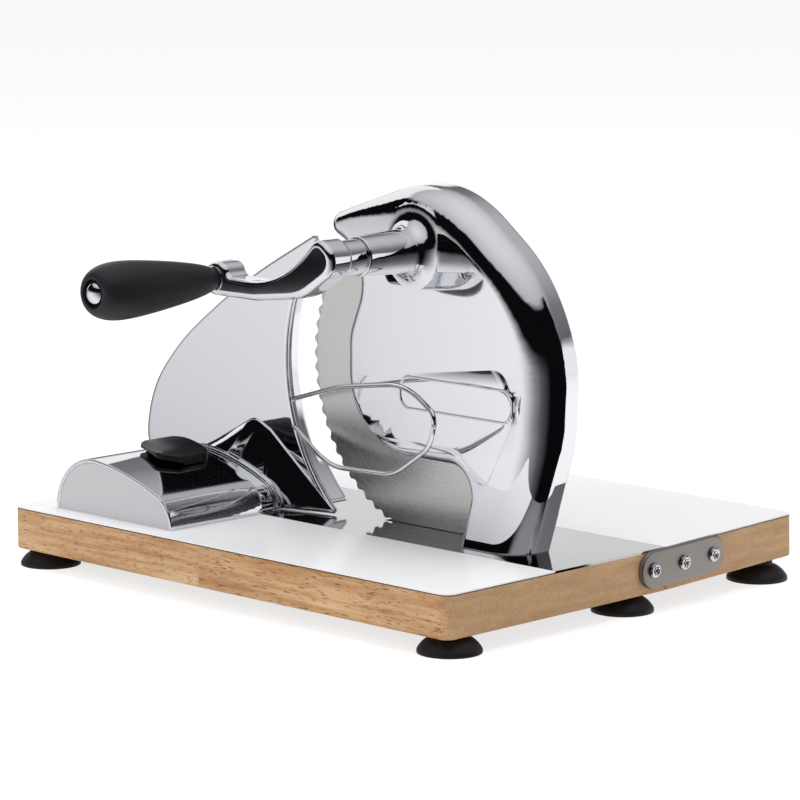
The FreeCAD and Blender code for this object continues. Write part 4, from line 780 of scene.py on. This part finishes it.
class SLICER_OT_studio(SlicerOperator, bpy.types.Operator):
    """Build the pale floor, the card that mirrors see, the soft boxes and the camera"""
    bl_idname = "slicer.studio"
    bl_label = "Studio"

    def execute(self, context):
        studio = context.scene.slicer_studio
        self.world(context)
        self.floor(studio)
        self.surround_card(studio)
        self.lamp("Overhead_softbox", OVERHEAD_PLACE, OVERHEAD_WIDTH, studio.overhead_power)
        self.lamp("Front_softbox", FRONT_PLACE, FRONT_WIDTH, studio.front_power)
        self.camera(context, studio)
        return {"FINISHED"}

    def backdrop_rays(self, tree):
        """1 for the rays of the camera, of mirrors and of glass."""
        ray = add_node(tree, "ShaderNodeLightPath")
        seen = ray.outputs["Is Camera Ray"]
        for name in ("Is Glossy Ray", "Is Transmission Ray"):
            either = add_node(tree, "ShaderNodeMath", {"operation": "MAXIMUM"},
                              {0: seen, 1: ray.outputs[name]})
            seen = either.outputs[0]
        return seen

    def world(self, context):
        """What lies round the slicer, by the kind of ray that meets it.

        The camera and glass see white, mirrors see a grey room over a white horizon, and all
        the rest gets a soft grey light.
        """
        world = bpy.data.worlds.new("Studio_white")
        context.scene.world = world
        world.use_nodes = True
        tree = world.node_tree
        tree.nodes.clear()
        fill = add_node(tree, "ShaderNodeBackground",
                        {"Color": linear(WHITE), "Strength": WORLD_FILL})
        ray = add_node(tree, "ShaderNodeLightPath")
        where = add_node(tree, "ShaderNodeTexCoord")
        split = add_node(tree, "ShaderNodeSeparateXYZ",
                         links={"Vector": where.outputs["Generated"]})
        room = add_node(tree, "ShaderNodeValToRGB", links={"Fac": split.outputs["Z"]}, stops=[
            (0.2, linear(WHITE)), (0.3, linear("#6A6A6E")), (0.5, linear("#808084")),
            (0.72, linear("#C6C6C9")), (1.0, linear("#E8E8EA"))])
        seen = add_node(tree, "ShaderNodeMix", {"data_type": "RGBA", 6: linear(WHITE)},
                        {0: ray.outputs["Is Glossy Ray"], 7: room.outputs["Color"]})
        backdrop = add_node(tree, "ShaderNodeBackground", {"Strength": 1.0},
                            {"Color": seen.outputs[2]})
        mixed = add_node(tree, "ShaderNodeMixShader", links={
            0: self.backdrop_rays(tree), 1: fill.outputs[0], 2: backdrop.outputs[0]})
        add_node(tree, "ShaderNodeOutputWorld", links={"Surface": mixed.outputs[0]})

    def floor(self, studio):
        """A white table that keeps the slicer's shadow.

        Where it is seen, a glow lifts it to white and a dim part under that takes the shadow.
        """
        bpy.ops.mesh.primitive_circle_add(vertices=96, radius=FLOOR_RADIUS, fill_type="NGON",
                                          location=(0, 0, -FLOOR_DROP))
        floor = bpy.context.object
        floor.name = "Floor"
        material, tree, shader = new_material("Pale_floor", studio.floor, {"Roughness": 0.9})
        glow = add_node(tree, "ShaderNodeEmission",
                        {"Color": studio.floor, "Strength": studio.floor_glow})
        dim = add_node(tree, "ShaderNodeBsdfDiffuse", {"Color": linear("#A1A1A1")})
        white = add_node(tree, "ShaderNodeAddShader",
                         links={0: dim.outputs[0], 1: glow.outputs[0]})
        mixed = add_node(tree, "ShaderNodeMixShader", links={
            0: self.backdrop_rays(tree), 1: shader.outputs[0], 2: white.outputs[0]})
        tree.links.new(mixed.outputs[0], tree.nodes["Material Output"].inputs["Surface"])
        paint(floor, material)

    def surround_card(self, studio):
        """A dark room round the white table, which only mirrors see and take their contrast from.

        It is open behind the slicer, past CARD_REACH on either side.
        """
        bpy.ops.mesh.primitive_circle_add(vertices=180, radius=CARD_INNER, location=CARD_PLACE)
        card = bpy.context.object
        card.name = "Surround_card"
        bpy.ops.object.mode_set(mode="EDIT")
        bpy.ops.mesh.select_all(action="SELECT")
        bpy.ops.mesh.extrude_edges_move()
        bpy.ops.transform.resize(value=(CARD_RADIUS / CARD_INNER, CARD_RADIUS / CARD_INNER, 1))
        bpy.ops.mesh.extrude_edges_move(TRANSFORM_OT_translate={"value": (0, 0, CARD_HEIGHT)})
        bpy.ops.object.mode_set(mode="OBJECT")
        mesh = bmesh.new()
        mesh.from_mesh(card.data)
        behind = [face for face in mesh.faces
                  if abs(self.bearing(face.calc_center_median())) > CARD_REACH]
        bmesh.ops.delete(mesh, geom=behind, context="FACES")
        mesh.to_mesh(card.data)
        mesh.free()
        paint(card, self.card_shade(studio))
        card.visible_camera = False
        card.visible_diffuse = False
        card.visible_shadow = False
        card.visible_transmission = False

    def bearing(self, point):
        """Degrees to the right of the slicer's front."""
        return math.degrees(math.atan2(point.x, -point.y))

    def card_shade(self, studio):
        """White over the table, dark at its two sides and above eye height, grey at the top."""
        material, tree, _ = new_material("Dark_room", studio.flag, {})
        split = add_node(tree, "ShaderNodeSeparateXYZ", links={"Vector": placed(tree)})
        front = add_node(tree, "ShaderNodeMath", {"operation": "MULTIPLY", 1: -1.0},
                         {0: split.outputs["Y"]})
        bearing = add_node(tree, "ShaderNodeMath", {"operation": "ARCTAN2"},
                           {0: split.outputs["X"], 1: front.outputs[0]})
        reach = math.radians(CARD_REACH)
        across = add_node(tree, "ShaderNodeMapRange", {"From Min": -reach, "From Max": reach},
                          {"Value": bearing.outputs[0]})
        height = add_node(tree, "ShaderNodeMath", {"operation": "MULTIPLY", 1: 1 / CARD_HEIGHT},
                          {0: split.outputs["Z"]})

        def at(degrees):
            """A bearing as its place on a ramp across the card."""
            return (degrees + CARD_REACH) / (2 * CARD_REACH)

        low = add_node(tree, "ShaderNodeValToRGB", links={"Fac": across.outputs[0]}, stops=[
            (at(-94), studio.flag), (at(-84), linear("#8A8A8E")), (at(-68), linear("#DCDCDF")),
            (at(-52), linear("#F2F2F3")), (at(-34), linear(WHITE)), (at(-20), linear("#F4F4F5")),
            (at(0), linear("#CECED1")), (at(20), linear("#96969A")), (at(45), linear("#5A5A5E")),
            (at(74), studio.flag)])
        upper = add_node(tree, "ShaderNodeValToRGB", links={"Fac": across.outputs[0]}, stops=[
            (at(-84), linear(WHITE)), (at(-82), studio.flag)])
        # The low ramp gives way to the upper one, and that to grey, at shares of the height.
        rise = add_node(tree, "ShaderNodeMapRange", {"From Min": 0.03, "From Max": 0.28},
                        {"Value": height.outputs[0]})
        shade = add_node(tree, "ShaderNodeMix", {"data_type": "RGBA"},
                         {0: rise.outputs[0], 6: low.outputs["Color"],
                          7: upper.outputs["Color"]})
        crest = add_node(tree, "ShaderNodeMapRange", {"From Min": 0.88, "From Max": 1.0},
                         {"Value": height.outputs[0]})
        faded = add_node(tree, "ShaderNodeMix", {"data_type": "RGBA", 7: linear("#C2C2C5")},
                         {0: crest.outputs[0], 6: shade.outputs[2]})
        glow = add_node(tree, "ShaderNodeEmission", links={"Color": faded.outputs[2]})
        tree.links.new(glow.outputs[0], tree.nodes["Material Output"].inputs["Surface"])
        return material

    def lamp(self, name, place, width, power):
        """A round soft box that faces the slicer and doesn't show in the chrome."""
        bpy.ops.object.light_add(type="AREA", location=place)
        lamp = bpy.context.object
        lamp.name = name
        lamp.data.shape = "DISK"
        lamp.data.size = width
        lamp.data.energy = power
        aim = LAMP_AIM - Vector(place)
        lamp.rotation_euler = aim.to_track_quat("-Z", "Y").to_euler()
        lamp.visible_glossy = False

    def camera(self, context, studio):
        """The camera, with a sensor as wide as the focal length is meant for."""
        bpy.ops.object.camera_add(
            location=studio.camera_place,
            rotation=(math.radians(90) - studio.elevation, 0, studio.azimuth))
        camera = bpy.context.object
        camera.name = "Camera"
        camera.data.sensor_width = SENSOR_WIDTH
        camera.data.lens = studio.focal_length
        camera.data.clip_end = VIEW_DEPTH
        context.scene.camera = camera
        context.scene.view_settings.view_transform = "Standard"


# ---------------------------------------------------------------- panel and start


STEPS = (SLICER_OT_board, SLICER_OT_castings, SLICER_OT_blade, SLICER_OT_screws,
         SLICER_OT_plastics, SLICER_OT_studio)


class SLICER_PT_panel(bpy.types.Panel):
    """The slicer's sizes, colours and steps"""
    bl_idname = "SLICER_PT_panel"
    bl_label = "Bread Slicer"
    bl_space_type = "VIEW_3D"
    bl_region_type = "UI"
    bl_category = "Bread Slicer"

    def draw(self, context):
        column = self.layout.column()
        for group in (context.scene.slicer_finishes, context.scene.slicer_trim,
                      context.scene.slicer_studio):
            for name in group.bl_rna.properties.keys():
                if name not in ("rna_type", "name"):
                    column.prop(group, name)
        for step in STEPS:
            column.operator(step.bl_idname)


CLASSES = (SlicerFinishes, SlicerTrim, SlicerStudio) + STEPS + (SLICER_PT_panel,)


def register():
    """Make the settings, the steps and the panel known to Blender."""
    for item in CLASSES:
        bpy.utils.register_class(item)
    bpy.types.Scene.slicer_finishes = PointerProperty(type=SlicerFinishes)
    bpy.types.Scene.slicer_trim = PointerProperty(type=SlicerTrim)
    bpy.types.Scene.slicer_studio = PointerProperty(type=SlicerStudio)


def unregister():
    """Take away what register has added."""
    for name in ("slicer_finishes", "slicer_trim", "slicer_studio"):
        delattr(bpy.types.Scene, name)
    for item in reversed(CLASSES):
        bpy.utils.unregister_class(item)


def main():
    """Build the slicer step by step."""
    register()
    bpy.ops.slicer.board()
    bpy.ops.slicer.castings()
    bpy.ops.slicer.blade()
    bpy.ops.slicer.screws()
    bpy.ops.slicer.plastics()
    bpy.ops.slicer.studio()


if __name__ == "__main__":
    main()
